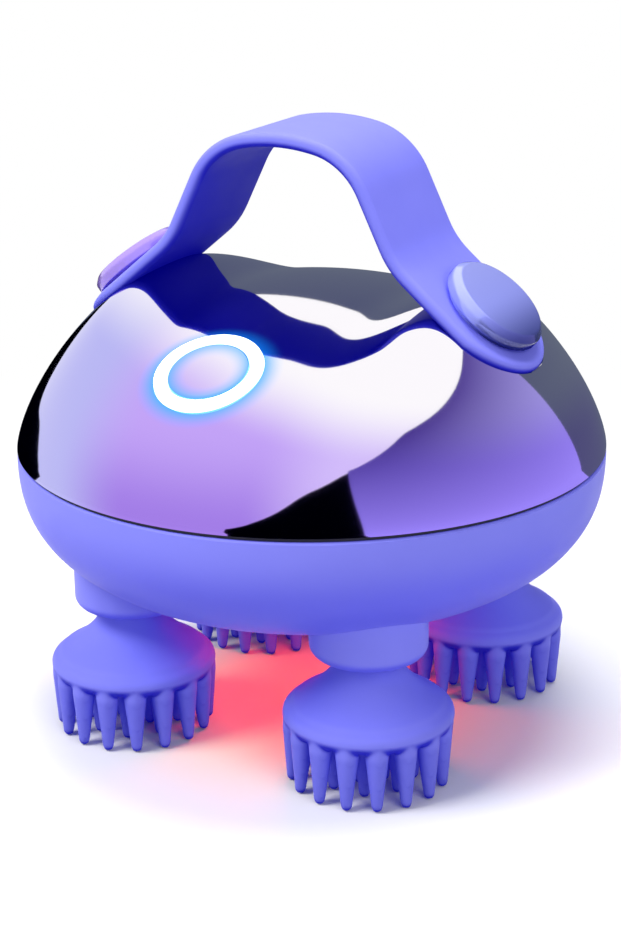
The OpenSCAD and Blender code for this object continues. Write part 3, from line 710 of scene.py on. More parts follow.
@dataclass(frozen=True)
class PlatedFinish:
    """Mirror plating whose tint drifts over the piece.

    A pale tone at the top is a painted highlight. Under it a low tone turns
    into a middle one with height, with tones of their own at the left and the
    right; these are partly the plating's own gradient and partly painted
    reflection. A painted glow lies round the lit ring, though the plating is no lamp.
    """

    low: Colour
    middle: Colour
    pale: Colour
    left: Colour
    right: Colour
    rise: tuple[float, float] = (59.0, 75.0)
    top: tuple[float, float] = (76.0, 86.0)
    left_x: tuple[float, float] = (-6.0, -26.0)
    right_x: tuple[float, float] = (16.0, 32.0)
    rough: float = 0.05
    metallic: float = 1.0
    leak: Colour = (0.01, 0.30, 1.0)
    painted_glow_power: float = 0.0

    def build(self, name: str) -> bpy.types.Material:
        """Makes the material.

        Args:
            name: Its name.

        Returns:
            A metallic material with a tint that drifts across the piece, partly painted highlight and painted
            reflection.
        """
        least, most = 0.6, 1.4
        material, graph, shader = new_material(name)
        graph.feed(shader, {"Metallic": self.metallic, "Coat Weight": 0.2,
                            "Coat Roughness": 0.03})
        # Painted highlight and painted reflection: the pale top and the tones by height and side, partly the plating's
        # own gradient.
        tone: Colour | bpy.types.NodeSocket = self.low
        for way, (start, end), colour in ((Way.UP, self.rise, self.middle),
                                          (Way.ACROSS, self.left_x, self.left),
                                          (Way.ACROSS, self.right_x, self.right),
                                          (Way.UP_RIGHT, self.top, self.pale)):
            share = graph.group(Effect.drift(way), {"From": start * MM, "To": end * MM})["Share"]
            tone = graph.mix(share, tone, colour)
        # Painted glow: the plating glows round the lit ring, though it is no lamp.
        if self.painted_glow_power:
            leak = graph.group(Effect.ring_painted_glow())["Leak"]
            tone = graph.mix(leak, tone, self.leak)
            graph.feed(shader, {"Emission Color": graph.mix(leak, (0.0, 0.0, 0.0), self.leak),
                                "Emission Strength": self.painted_glow_power})
        cloud = graph.group(Effect.grain(), {"Cloud Scale": 40.0})["Cloud"]
        rough = graph.add("MapRange", {"Value": cloud, "To Min": self.rough * least,
                                       "To Max": self.rough * most})
        graph.feed(shader, {"Base Color": tone, "Roughness": rough.outputs["Result"]})
        return material


class Coat(Enum):
    """The finishes of this object, by the record's material slots."""

    SOFT_TOUCH = "soft_touch_shell"
    COVER = "plated_cover"
    CAP = "plated_cap"
    SILICONE = "silicone"
    RUBBER = "dark_rubber"
    NYLON = "white_nylon"
    STEEL = "steel"
    BRONZE = "bronze"
    RING = "light_guide"
    LENS = "red_lens"
    BOARD = "circuit_board"
    BLACK = "black_plastic"
    WHITE_LED = "white_led"
    RED_LED = "red_led"
    WRAP = "cell_wrap"


FINISHES: dict[Coat, Finish | PlatedFinish] = {
    # Soft-touch: the under tone is painted shade on faces that look down, and the faint inner light is a painted glow.
    Coat.SOFT_TOUCH: Finish((0.27, 0.28, 0.90), (0.25, 0.26, 0.87), rough=0.55, coat=0.05,
                            sheen=0.08, specular=0.3, under=(0.15, 0.155, 0.84),
                            painted_fill_glow=(0.0, 0.0, 0.12)),
    # Cover: the pale top tone is a painted highlight, the low, middle, left and right tones are partly plating gradient
    # and partly painted reflection, and the glow round the ring is painted.
    Coat.COVER: PlatedFinish(low=(0.36, 0.20, 0.80), middle=(0.54, 0.36, 0.93),
                             pale=(0.97, 0.94, 0.98), left=(0.47, 0.46, 0.90),
                             right=(0.64, 0.50, 0.96), painted_glow_power=0.6),
    # Caps: the dark low tone and the lighter middle one paint the reflection across the face.
    Coat.CAP: PlatedFinish(low=(0.035, 0.045, 0.24), middle=(0.34, 0.38, 1.0),
                           pale=(0.42, 0.46, 1.0), left=(0.38, 0.26, 0.78),
                           right=(0.34, 0.38, 1.0), rise=(83.5, 92.0), top=(97.0, 107.0),
                           left_x=(-20.0, -30.0), right_x=(80.0, 90.0), rough=0.12,
                           metallic=0.3),
    # Silicone: the under tone is painted shade on faces that look down, the mirrored tone is a painted reflection, and
    # the faint inner light is a painted glow.
    Coat.SILICONE: Finish((0.24, 0.25, 0.86), (0.215, 0.225, 0.82), rough=0.5, specular=0.2,
                          under=(0.02, 0.02, 0.55), painted_reflection_tone=(0.0, 0.0, 0.30),
                          painted_fill_glow=(0.0, 0.0, 0.10)),
    Coat.RUBBER: Finish((0.02, 0.02, 0.035), rough=0.7, grain_height=0.03),
    Coat.NYLON: Finish((0.80, 0.78, 0.70), rough=0.45, subsurface=0.1),
    Coat.STEEL: Finish((0.62, 0.63, 0.66), rough=0.28, metallic=1.0, turned=True,
                       grain_height=0.004),
    Coat.BRONZE: Finish((0.52, 0.34, 0.17), rough=0.38, metallic=1.0, turned=True),
    Coat.RING: Finish((0.80, 0.93, 1.0), (0.86, 0.96, 1.0), rough=0.3, glow=1.6),
    Coat.LENS: Finish((0.95, 0.035, 0.01), (0.85, 0.025, 0.008), rough=0.35, glow=13.0),
    Coat.BOARD: Finish((0.02, 0.14, 0.06), (0.03, 0.18, 0.08), rough=0.35, coat=0.3),
    Coat.BLACK: Finish((0.03, 0.03, 0.04), rough=0.5),
    Coat.WHITE_LED: Finish((0.95, 0.95, 0.80), rough=0.3, glow=1.0),
    Coat.RED_LED: Finish((0.90, 0.10, 0.08), rough=0.3, glow=1.0),
    Coat.WRAP: Finish((0.03, 0.22, 0.45), rough=0.25, coat=0.4, grain_height=0.0),
}


class Wardrobe:
    """Builds each finish once and dresses pieces and CAD nodes in it."""

    def __init__(self) -> None:
        """Starts with no finish built."""
        self.made: dict[Coat, bpy.types.Material] = {}

    def material(self, coat: Coat) -> bpy.types.Material:
        """Gives the material of a finish, built on its first use."""
        if coat not in self.made:
            self.made[coat] = FINISHES[coat].build(coat.value)
        return self.made[coat]

    def dress(self, piece: bpy.types.Object, coat: Coat, body: str,
              *nodes: str) -> bpy.types.Object:
        """Gives a new piece its finish, its body and the CAD nodes it stands for.

        Args:
            piece: The piece.
            coat: Its finish.
            body: Body it moves with.
            nodes: CAD nodes that it replaces.

        Returns:
            The piece.
        """
        piece.data.materials.clear()
        piece.data.materials.append(self.material(coat))
        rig.slot(piece, coat.value)
        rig.ride(piece, body)
        if nodes:
            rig.replaces(piece, *nodes)
        log.info("%s: %d faces, %s", piece.name, len(piece.data.polygons), coat.value)
        return piece

    def dress_nodes(self) -> None:
        """Gives every CAD node that stays the finish of its own material slot."""
        slots = {row["node"]: row["material_slot"] for row in node_rows(frame["record"])}
        for name, piece in frame["nodes"].items():
            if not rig.alive(piece):
                continue
            for slot in piece.material_slots:
                slot.material = self.material(Coat(slots[name]))


def node_rows(record: dict) -> list[dict]:
    """Lists the record's rows that give a node its material slot."""
    found: list[dict] = []

    def walk(value: object) -> None:
        """Looks through one level of the record."""
        if isinstance(value, dict):
            if "node" in value and "material_slot" in value:
                found.append(value)
            for inner in value.values():
                walk(inner)
        elif isinstance(value, list):
            for inner in value:
                walk(inner)

    walk(record)
    return found


# ---------- Body ----------


@dataclass
class Body:
    """Bowl, cover, seal and small parts of the body. Sizes in millimetres."""

    wardrobe: Wardrobe
    r: float = 59.0
    wall: float = 2.2
    seam_z: float = 57.0
    cover_z: float = 57.8
    bowl_depth: float = 30.2
    bowl_p: float = 2.6
    bowl_q: float = 2.7
    middle_h: float = 31.7
    side_h: float = 43.2
    side_p: float = 2.1
    side_q: float = 1.4
    blend: tuple[float, float] = (13.0, 41.0)
    boss_r: float = 11.4
    boss_z: float = 26.2
    mouth_r: float = 6.95
    window_r: float = 12.0
    well_r: float = 2.6
    well_at: tuple[float, float] = (32.0, 15.0)
    port_z: float = 49.6
    plug_w: float = 13.0
    plug_h: float = 7.0
    head_far: float = 38.0
    head_angles: tuple[float, ...] = (225.0, 315.0, 45.0, 135.0)
    cut_edge: float = 28.0

    def height(self, x: np.ndarray, y: np.ndarray, inset: float = 0.0) -> np.ndarray:
        """Gives the cover's height over its lower edge.

        Args:
            x: Places along the strap.
            y: Places across it.
            inset: Depth under the outside.

        Returns:
            The heights.
        """
        q = np.minimum(1.0, np.hypot(x, y) / (self.r - inset))
        middle = (self.middle_h - inset) * np.sqrt(1 - q * q)
        side = (self.side_h - inset) * (1 - q**self.side_p) ** (1 / self.side_q)
        start, end = self.blend
        t = np.clip((np.abs(x) - start) / (end - start), 0, 1)
        share = t**3 * (10 - 15 * t + 6 * t * t)
        return middle + (side - middle) * share

    def cover_rule(self, spots: np.ndarray) -> tuple[np.ndarray, np.ndarray]:
        """Gives the cover's outer normals and distances for points near it."""
        margin = 0.004
        far = np.hypot(spots[:, 0], spots[:, 1])
        shrink = np.minimum(1.0, (self.r - margin) / np.maximum(far, 1e-6))
        x, y = spots[:, 0] * shrink, spots[:, 1] * shrink
        step = 0.003
        along, across = ((self.height(x + a, y + b) - self.height(x - a, y - b)) / (2 * step)
                         for a, b in ((step, 0.0), (0.0, step)))
        normal = np.stack([-along, -across, np.ones(len(x))], 1)
        normal /= np.linalg.norm(normal, axis=1)[:, None]
        rise = spots[:, 2] - self.cover_z - self.height(x, y)
        return normal, np.abs(rise * normal[:, 2])

    def cover(self, handle: "Handle", button: "Button") -> bpy.types.Object:
        """Makes the plated cover.

        Args:
            handle: Gives the pockets of the strap's feet.
            button: Gives the light ring's hole.

        Returns:
            The cover.
        """
        around, rings, edge_crowding = 288, 96, 2.2
        points: list[list[float]] = []
        for inset in (0.0, self.wall):
            for i in range(rings):
                far = (1 - (i / rings) ** edge_crowding) * (self.r - inset)
                a = 2 * np.pi * np.arange(around) / around
                x, y = far * np.cos(a), far * np.sin(a)
                z = self.cover_z + (self.height(x, y, inset) if i else np.zeros(around))
                points += np.stack([x, y, z], 1).tolist()
            top = self.height(np.zeros(1), np.zeros(1), inset)[0]
            points.append([0, 0, self.cover_z + float(top)])
        half = around * rings + 1
        faces: list[list[int]] = []
        for k in range(around):
            k2 = (k + 1) % around
            for start in (0, half):
                for i in range(rings - 1):
                    low, high = start + i * around, start + (i + 1) * around
                    faces.append([low + k, low + k2, high + k2, high + k])
                top = start + (rings - 1) * around
                faces.append([top + k, top + k2, start + half - 1])
            faces.append([k, half + k, half + k2, k2])
        piece = outward(mesh_object("cover", np.array(points), faces))
        cut(piece, [*handle.pocket_tools(), button.hole_tool()])
        crease(piece, self.cut_edge)
        surface_normals(piece, self.cover_rule)
        return self.wardrobe.dress(piece, Coat.COVER, "body", "top_cover")

    def bowl_outline(self, r: float, depth: float, n: int) -> Profile:
        """Gives the bowl's outline from the bottom's middle up to the seam."""
        turns = [math.sin(math.radians(90 * i / n)) for i in range(n, -1, -1)]
        return [(r * (1 - t**self.bowl_p) ** (1 / self.bowl_q), self.seam_z - t * depth)
                for t in turns]

    def bowl_rule(self, spots: np.ndarray) -> tuple[np.ndarray, np.ndarray]:
        """Gives the bowl's outer normals and distances for points near it."""
        far = np.hypot(spots[:, 0], spots[:, 1])
        t = np.clip((self.seam_z - spots[:, 2]) / self.bowl_depth, 0, 1)
        q = far / self.r
        across = self.bowl_q * np.maximum(q, 1e-9) ** (self.bowl_q - 1) / self.r
        down = self.bowl_p * t ** (self.bowl_p - 1) / self.bowl_depth
        x, y = spots[:, :2].T / np.maximum(far, 1e-9)
        normal = np.stack([across * x, across * y, -down], 1)
        length = np.maximum(np.linalg.norm(normal, axis=1), 1e-12)
        value = q**self.bowl_q + t**self.bowl_p - 1
        return normal / length[:, None], np.abs(value) / length

    def at_head(self, k: int) -> Matrix:
        """Gives the frame of one head's axis, with its origin on the ground."""
        return (Matrix.Rotation(math.radians(self.head_angles[k]), 4, "Z")
                @ Matrix.Translation((self.head_far, 0, 0)))

    def well_spots(self) -> list[tuple[float, float]]:
        """Lists where the wells of the cover screws are."""
        far, a = self.well_at
        return [(far * math.cos(math.radians(b)), far * math.sin(math.radians(b)))
                for b in (a, 180 - a, 180 + a, -a)]

    def bowl(self) -> bpy.types.Object:
        """Makes the lower shell: bowl, four socket bosses and its openings.

        Returns:
            The lower shell.
        """
        steps, edge, cut_low, cut_high = 56, 0.35, 20, 40
        outside = self.bowl_outline(self.r, self.bowl_depth, steps)
        outside = outside[:-1] + [(self.r, self.seam_z - edge), (self.r - edge, self.seam_z)]
        inside = self.bowl_outline(self.r - self.wall, self.bowl_depth - self.wall, steps)
        points, faces = lathe_data(outside + inside[::-1], 256)
        shell = outward(mesh_object("lower_bowl", points, faces))
        tools = [rod_tool("window_cut", self.window_r, cut_low, cut_high)]
        for x, y in self.well_spots():
            place = Matrix.Translation((x, y, 0))
            tools.append(rod_tool("well_cut", self.well_r, cut_low, cut_high, place, 48))
        for k in range(4):
            place = self.at_head(k)
            tools.append(rod_tool("boss_cut", self.boss_r - 0.5, cut_low, cut_high + 2, place))
        low, high = self.port_z - self.plug_h / 2, self.port_z + self.plug_h / 2
        inner, outer = self.r - 9, self.r + 11
        plan = [(-self.plug_w / 2, inner), (self.plug_w / 2, inner),
                (self.plug_w / 2, outer), (-self.plug_w / 2, outer)]
        tools.append(prism_tool("port_cut", plan, low, high))
        cut(shell, tools)
        crease(shell, self.cut_edge)
        surface_normals(shell, self.bowl_rule)
        bosses = joined("bosses", [self.boss(k) for k in range(4)])
        self.wardrobe.dress(bosses, Coat.SOFT_TOUCH, "body", "lower_shell")
        return self.wardrobe.dress(shell, Coat.SOFT_TOUCH, "body", "lower_shell")

    def boss(self, k: int) -> bpy.types.Object:
        """Makes one round socket boss, with its mouth for a head's neck."""
        corner, floor, top = 2.4, 2.2, 43.0
        outline = ([(self.boss_r - self.wall, top), (self.boss_r, top)]
                   + arc(self.boss_r - corner, self.boss_z + corner, corner, 0, -90, 10)
                   + softened([(8.0, self.boss_z), (self.mouth_r, self.boss_z),
                               (self.mouth_r, self.boss_z + floor)], {1: 0.5}, 4)
                   + [(self.boss_r - self.wall, self.boss_z + floor)])
        outline.append(outline[0])
        return lathe(f"boss_{k}", outline, 96, self.at_head(k))

    def seal(self) -> bpy.types.Object:
        """Makes the seal that shows as a dark line at the seam."""
        groove, width = 0.6, 3.0
        inner, outer = self.r - width, self.r - groove
        outline = softened([(inner, self.seam_z), (outer, self.seam_z), (outer, self.cover_z),
                            (inner, self.cover_z)], {1: 0.2, 2: 0.2}, 3)
        outline.append(outline[0])
        piece = lathe("seam_seal", outline, 256)
        return self.wardrobe.dress(piece, Coat.RUBBER, "body", "cover_gasket")

    def port_cover(self) -> bpy.types.Object:
        """Makes the soft plug that closes the charging inlet, flush with the bowl.

        Returns:
            The plug.
        """
        grip, corner, depth, sunk, around = 0.25, 1.6, 2.0, 0.02, 64
        half_w, half_h = self.plug_w / 2 - grip, self.plug_h / 2 - grip
        # Each ring's size against the rim, and its depth under the plug's face
        rings = [((i + 1) / 7, 0.0) for i in range(6)] + [(0.98, 0.06), (1.0, depth)]
        points: list[tuple[float, float, float]] = []
        for size, back in rings:
            for k in range(around):
                a = 2 * math.pi * k / around
                c, s = math.cos(a), math.sin(a)
                x = ((half_w - corner) * self.squared(c) + corner * c) * size
                z = ((half_h - corner) * self.squared(s) + corner * s) * size + self.port_z
                t = (self.seam_z - z) / self.bowl_depth
                far = self.r * (1 - max(0.0, t) ** self.bowl_p) ** (1 / self.bowl_q)
                points.append((x, math.sqrt(far**2 - x * x) - sunk - back, z))
        faces = [[i + k, i + (k + 1) % around, i + around + (k + 1) % around, i + around + k]
                 for i in range(0, (len(rings) - 1) * around, around) for k in range(around)]
        faces += [list(range(around)), list(range((len(rings) - 1) * around, len(points)))]
        piece = crease(outward(mesh_object("port_cover", np.array(points), faces)), 40)
        return self.wardrobe.dress(piece, Coat.SILICONE, "plug", "port_plug")

    @staticmethod
    def squared(value: float) -> float:
        """Pushes a cosine or sine towards 1 or -1, for a rounded rectangle."""
        push = 1.42
        return max(-1.0, min(1.0, value * push))

    def well_plugs(self) -> bpy.types.Object:
        """Makes the soft plugs that close the screw wells.

        Returns:
            The plugs as one piece.
        """
        plugs = []
        long, sunk, r = 3.5, 0.2, self.well_r - 0.03
        for i, (x, y) in enumerate(self.well_spots()):
            edge = math.hypot(x, y) + self.well_r
            depth = self.bowl_depth * (1 - (edge / self.r) ** self.bowl_q) ** (1 / self.bowl_p)
            low = self.seam_z - depth + sunk
            outline = softened([(0, low), (r, low), (r, low + long), (0, low + long)],
                               {1: 0.5, 2: 0.2}, 4)
            plugs.append(lathe(f"well_plug_{i}", outline, 40, Matrix.Translation((x, y, 0))))
        return self.wardrobe.dress(joined("well_plugs", plugs), Coat.SILICONE, "body", "screw_plugs")

    def window(self) -> bpy.types.Object:
        """Makes the red window in the bowl's floor."""
        low = self.seam_z - self.bowl_depth
        r, lip = self.window_r - 0.1, self.window_r + 1.1
        step, top = self.wall / 2, 1.4
        outline = softened([(0, low + 0.1), (r, low + 0.1), (r, low + step), (lip, low + step),
                            (lip, low + step + top), (0, low + step + top)], {1: 0.4}, 4)
        piece = lathe("red_window", outline, 96)
        return self.wardrobe.dress(piece, Coat.LENS, "body", "led_window")

    def build(self, handle: "Handle", button: "Button") -> None:
        """Builds all pieces of the body."""
        self.cover(handle, button)
        self.bowl()
        self.seal()
        self.port_cover()
        self.well_plugs()
        self.window()


# ---------- Strap handle ----------


@dataclass
class Handle:
    """Strap with its two end caps. Sizes in millimetres."""

    wardrobe: Wardrobe
    seam_z: float = 57.0
    height: float = 64.0
    width: float = 27.0
    thick: float = 2.8
    foot_x: float = 38.4
    foot_h: float = 31.0
    slope: float = 40.0
    crown_r: float = 40.0
    crown_a: float = 12.0
    shoulder_r: float = 16.0
    leg_a: float = 64.0
    hollow_r: float = 16.0
    end_r: float = 13.8
    edge: float = 1.25
    cap_r: float = 10.5
    cap_t: float = 4.0

    def at_foot(self, side: int) -> Matrix:
        """Gives a foot's frame: Z along the cap's axis, X down the slope."""
        turn = Matrix.Rotation(math.radians(self.slope), 4, "Y")
        place = Matrix.Translation((self.foot_x, 0, self.seam_z + self.foot_h)) @ turn
        return Matrix.Scale(-1, 4, (1, 0, 0)) @ place if side < 0 else place

    def pocket_tools(self) -> list[bpy.types.Object]:
        """Makes the tools that cut the feet's pockets into the cover."""
        reach = self.end_r + 0.3
        plan = arc(0, 0, reach, -90, 90, 64) + [(-self.width, reach), (-self.width, -reach)]
        return [prism_tool("pocket", plan, -self.thick, 20, self.at_foot(side)) for side in (-1, 1)]

    def side_path(self) -> tuple[np.ndarray, np.ndarray]:
        """Traces the strap's outer face from its top down to the right foot.

        Returns:
            Points and outward normals in the side view, one row per step.
        """
        rad = math.radians

        def swing(r: float, a0: float, a1: float) -> np.ndarray:
            """Gives the way along an arc between two slopes."""
            return r * np.array([math.sin(rad(a1)) - math.sin(rad(a0)),
                                 math.cos(rad(a1)) - math.cos(rad(a0))])

        def down(a: float) -> np.ndarray:
            """Gives the direction of a slope."""
            return np.array([math.cos(rad(a)), -math.sin(rad(a))])

        start = np.array([0.0, self.height])
        arcs = (swing(self.crown_r, 0, self.crown_a)
                + swing(self.shoulder_r, self.crown_a, self.leg_a)
                - swing(self.hollow_r, self.leg_a, self.slope))
        gap = np.array([self.foot_x, self.foot_h]) - start - arcs
        leg_len, foot_len = np.linalg.solve(np.array([down(self.leg_a), down(self.slope)]).T, gap)
        runs = [(self.crown_r * rad(self.crown_a), 0.0, self.crown_a),
                (self.shoulder_r * rad(self.leg_a - self.crown_a), self.crown_a, self.leg_a),
                (leg_len, self.leg_a, self.leg_a),
                (self.hollow_r * rad(self.leg_a - self.slope), self.leg_a, self.slope),
                (foot_len, self.slope, self.slope)]
        fewest, stride = 6, 1.1
        spots, slopes = [start], [0.0]
        for length, a0, a1 in runs:
            steps = max(fewest, int(length / stride))
            for i in range(steps):
                turn = a0 + (a1 - a0) * (i + 0.5) / steps
                spots.append(spots[-1] + length / steps * down(turn))
                slopes.append(a0 + (a1 - a0) * (i + 1) / steps)
        angles = np.radians(self.eased(np.array(slopes)))
        return np.array(spots), np.stack([np.sin(angles), np.cos(angles)], 1)

    @staticmethod
    def eased(slopes: np.ndarray) -> np.ndarray:
        """Softens the change of curvature between the strap's arcs."""
        kernel = np.array([1, 2, 3, 2, 1]) / 9
        padded = np.concatenate([-slopes[2:0:-1], slopes, slopes[-1:].repeat(2)])
        return np.convolve(padded, kernel, "valid")

    def strap(self) -> bpy.types.Object:
        """Makes the strap as a slab with round ends and rounded long edges.

        Returns:
            The strap.
        """
        half, normals = self.side_path()
        middle = np.concatenate([half[:0:-1] * [-1, 1], half])
        outwards = np.concatenate([normals[:0:-1] * [-1, 1], normals])
        foot = math.radians(self.slope)
        tail = np.array([math.cos(foot), -math.sin(foot)])
        # Rows round the section's edge: inset from the outline, depth under the face
        bend = [math.radians(a) for a in np.linspace(0, 90, 7)]
        rows = [(self.edge * (1 - math.sin(a)), self.edge * (1 - math.cos(a))) for a in bend]
        rows += [(i, self.thick - d) for i, d in rows[::-1]]
        tips, across = 14, 9
        lines: list[np.ndarray] = []
        for inset, depth in rows:
            r = self.end_r - inset
            wide = self.width / 2 - inset
            start = math.acos(wide / r)
            turns = [start + (math.pi / 2 - start) * k / tips for k in range(tips + 1)]
            along = [r * math.sin(a) for a in turns]
            out = [r * math.cos(a) for a in turns]
            spots = [(p, n, wide) for p, n in zip(middle, outwards)]
            right = [(middle[-1] + tail * s, outwards[-1], w) for s, w in zip(along, out)]
            left = [(middle[0] + tail * [-1, 1] * s, outwards[0], w) for s, w in zip(along, out)]
            chain = left[::-1] + spots + right
            place = np.array([p - n * depth for p, n, _ in chain])
            reach = np.array([max(w, 0.0) for _, _, w in chain])
            lines.append(np.stack([place[:, 0], reach, place[:, 1] + self.seam_z], 1))
        count = len(lines[0])
        grid = np.concatenate([line * [1, side, 1] for line in lines for side in (1, -1)])
        faces: list[list[int]] = []
        for j in range(len(rows) - 1):
            for side in (0, 1):
                a, b = (2 * j + side) * count, (2 * j + 2 + side) * count
                faces += [[a + i, a + i + 1, b + i + 1, b + i] for i in range(count - 1)]
        # The two faces are crossed by rows of inner points
        extra: list[np.ndarray] = [grid]
        start = len(grid)
        for j in (0, len(rows) - 1):
            y_plus, y_minus = 2 * j * count, (2 * j + 1) * count
            chains = [list(range(y_plus, y_plus + count))]
            for c in range(1, across):
                t = c / across
                extra.append(grid[y_plus:y_plus + count] * (1 - t)
                             + grid[y_minus:y_minus + count] * t)
                chains.append(list(range(start, start + count)))
                start += count
            chains.append(list(range(y_minus, y_minus + count)))
            for one, two in zip(chains, chains[1:]):
                faces += [[one[i], one[i + 1], two[i + 1], two[i]] for i in range(count - 1)]
        piece = welded(mesh_object("strap_band", np.concatenate(extra), faces))
        crease(outward(piece), SOFT)
        return self.wardrobe.dress(piece, Coat.SILICONE, "body", "strap")

    def cap(self, side: int) -> bpy.types.Object:
        """Makes one plated end cap with its bevel, under-step and stud.

        Args:
            side: -1 for the left foot, 1 for the right one.

        Returns:
            The cap.
        """
        bevel, step, neck = 1.2, 0.7, self.cap_r - 1.2
        outline = softened(
            [(0, -5.6), (3, -5.6), (3, 0), (neck, 0), (neck, step), (self.cap_r, step + 0.3),
             (self.cap_r, self.cap_t - bevel), (self.cap_r - bevel, self.cap_t), (0, self.cap_t)],
            {1: 0.2, 4: 0.15, 5: 0.3, 6: 0.35, 7: 0.35}, 5)
        hand = "left" if side < 0 else "right"
        piece = lathe(f"{hand}_end_cap", outline, 160, self.at_foot(side))
        return self.wardrobe.dress(piece, Coat.CAP, "body", f"{hand}_cap")

    def build(self) -> None:
        """Builds the strap and both caps."""
        self.strap()
        for side in (-1, 1):
            self.cap(side)


# ---------- Button ----------


@dataclass
class Button:
    """Power button with its light ring. Sizes in millimetres, along its axis."""

    wardrobe: Wardrobe
    tilt: float = 25.43
    ring_r: float = 10.5
    ring_in: float = 8.0
    button_r: float = 7.75
    button_t: float = 1.8
    stem_r: float = 2.0
    stem_end: float = -5.8
    spring_low: float = -4.6
    spring_keep: float = 0.68

    def place(self) -> Matrix:
        """Gives the frame on the cover whose Z axis is the button's axis."""
        turn = Matrix.Rotation(math.radians(self.tilt), 4, "X")
        return Matrix.Translation(RING_CENTRE) @ turn

    def hole_tool(self) -> bpy.types.Object:
        """Makes the tool that cuts the ring's hole into the cover."""
        return rod_tool("ring_hole", self.ring_r, -20, 10, self.place(), 128)

    def ring(self) -> bpy.types.Object:
        """Makes the glowing light guide with its skirt and lip."""
        outer, skirt, lip = self.ring_r - 0.1, 6.5, self.ring_r + 1.4
        outline = softened([(self.ring_in, -skirt), (outer, -skirt), (outer, -5.4), (lip, -5.4),
                            (lip, -4.4), (outer, -4.4), (outer, 0.1), (self.ring_in, 0.1)],
                           {6: 0.35, 7: 0.3}, 4)
        outline.append(outline[0])
        piece = lathe("glowing_ring", outline, 128, self.place())
        return self.wardrobe.dress(piece, Coat.RING, "body", "light_ring")

    def button(self) -> bpy.types.Object:
        """Makes the plated button with a shallow dish and its stem."""
        r, t = self.button_r, self.button_t
        dish_share, lip_drop, dish_depth = 0.86, 0.12, 0.28
        dish = [(r * dish_share * (1 - k / 8), -lip_drop - dish_depth * (1 - (1 - k / 8) ** 2))
                for k in range(9)]
        outline = softened([(0, self.stem_end), (self.stem_r, self.stem_end), (self.stem_r, -t),
                            (r, -t), (r, 0), (r * 0.9, 0)], {1: 0.2, 4: 0.35}, 4) + dish
        piece = lathe("button_dish", outline, 128, self.place())
        return self.wardrobe.dress(piece, Coat.COVER, "button", "power_button")

    def spring(self) -> None:
        """Lets the CAD's return spring shorten as the button goes down."""
        place = self.place()
        low = place @ Vector((0, 0, self.spring_low))
        axis = place.to_3x3() @ Vector((0, 0, 1))
        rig.squash(frame["nodes"]["button_spring"], "button_press", axis=tuple(axis),
                  anchor=tuple(v * MM for v in low), keep=self.spring_keep)

    def build(self) -> None:
        """Builds the ring and the button, and lets the spring follow."""
        self.ring()
        self.button()
        self.spring()


# ---------- Massage heads ----------


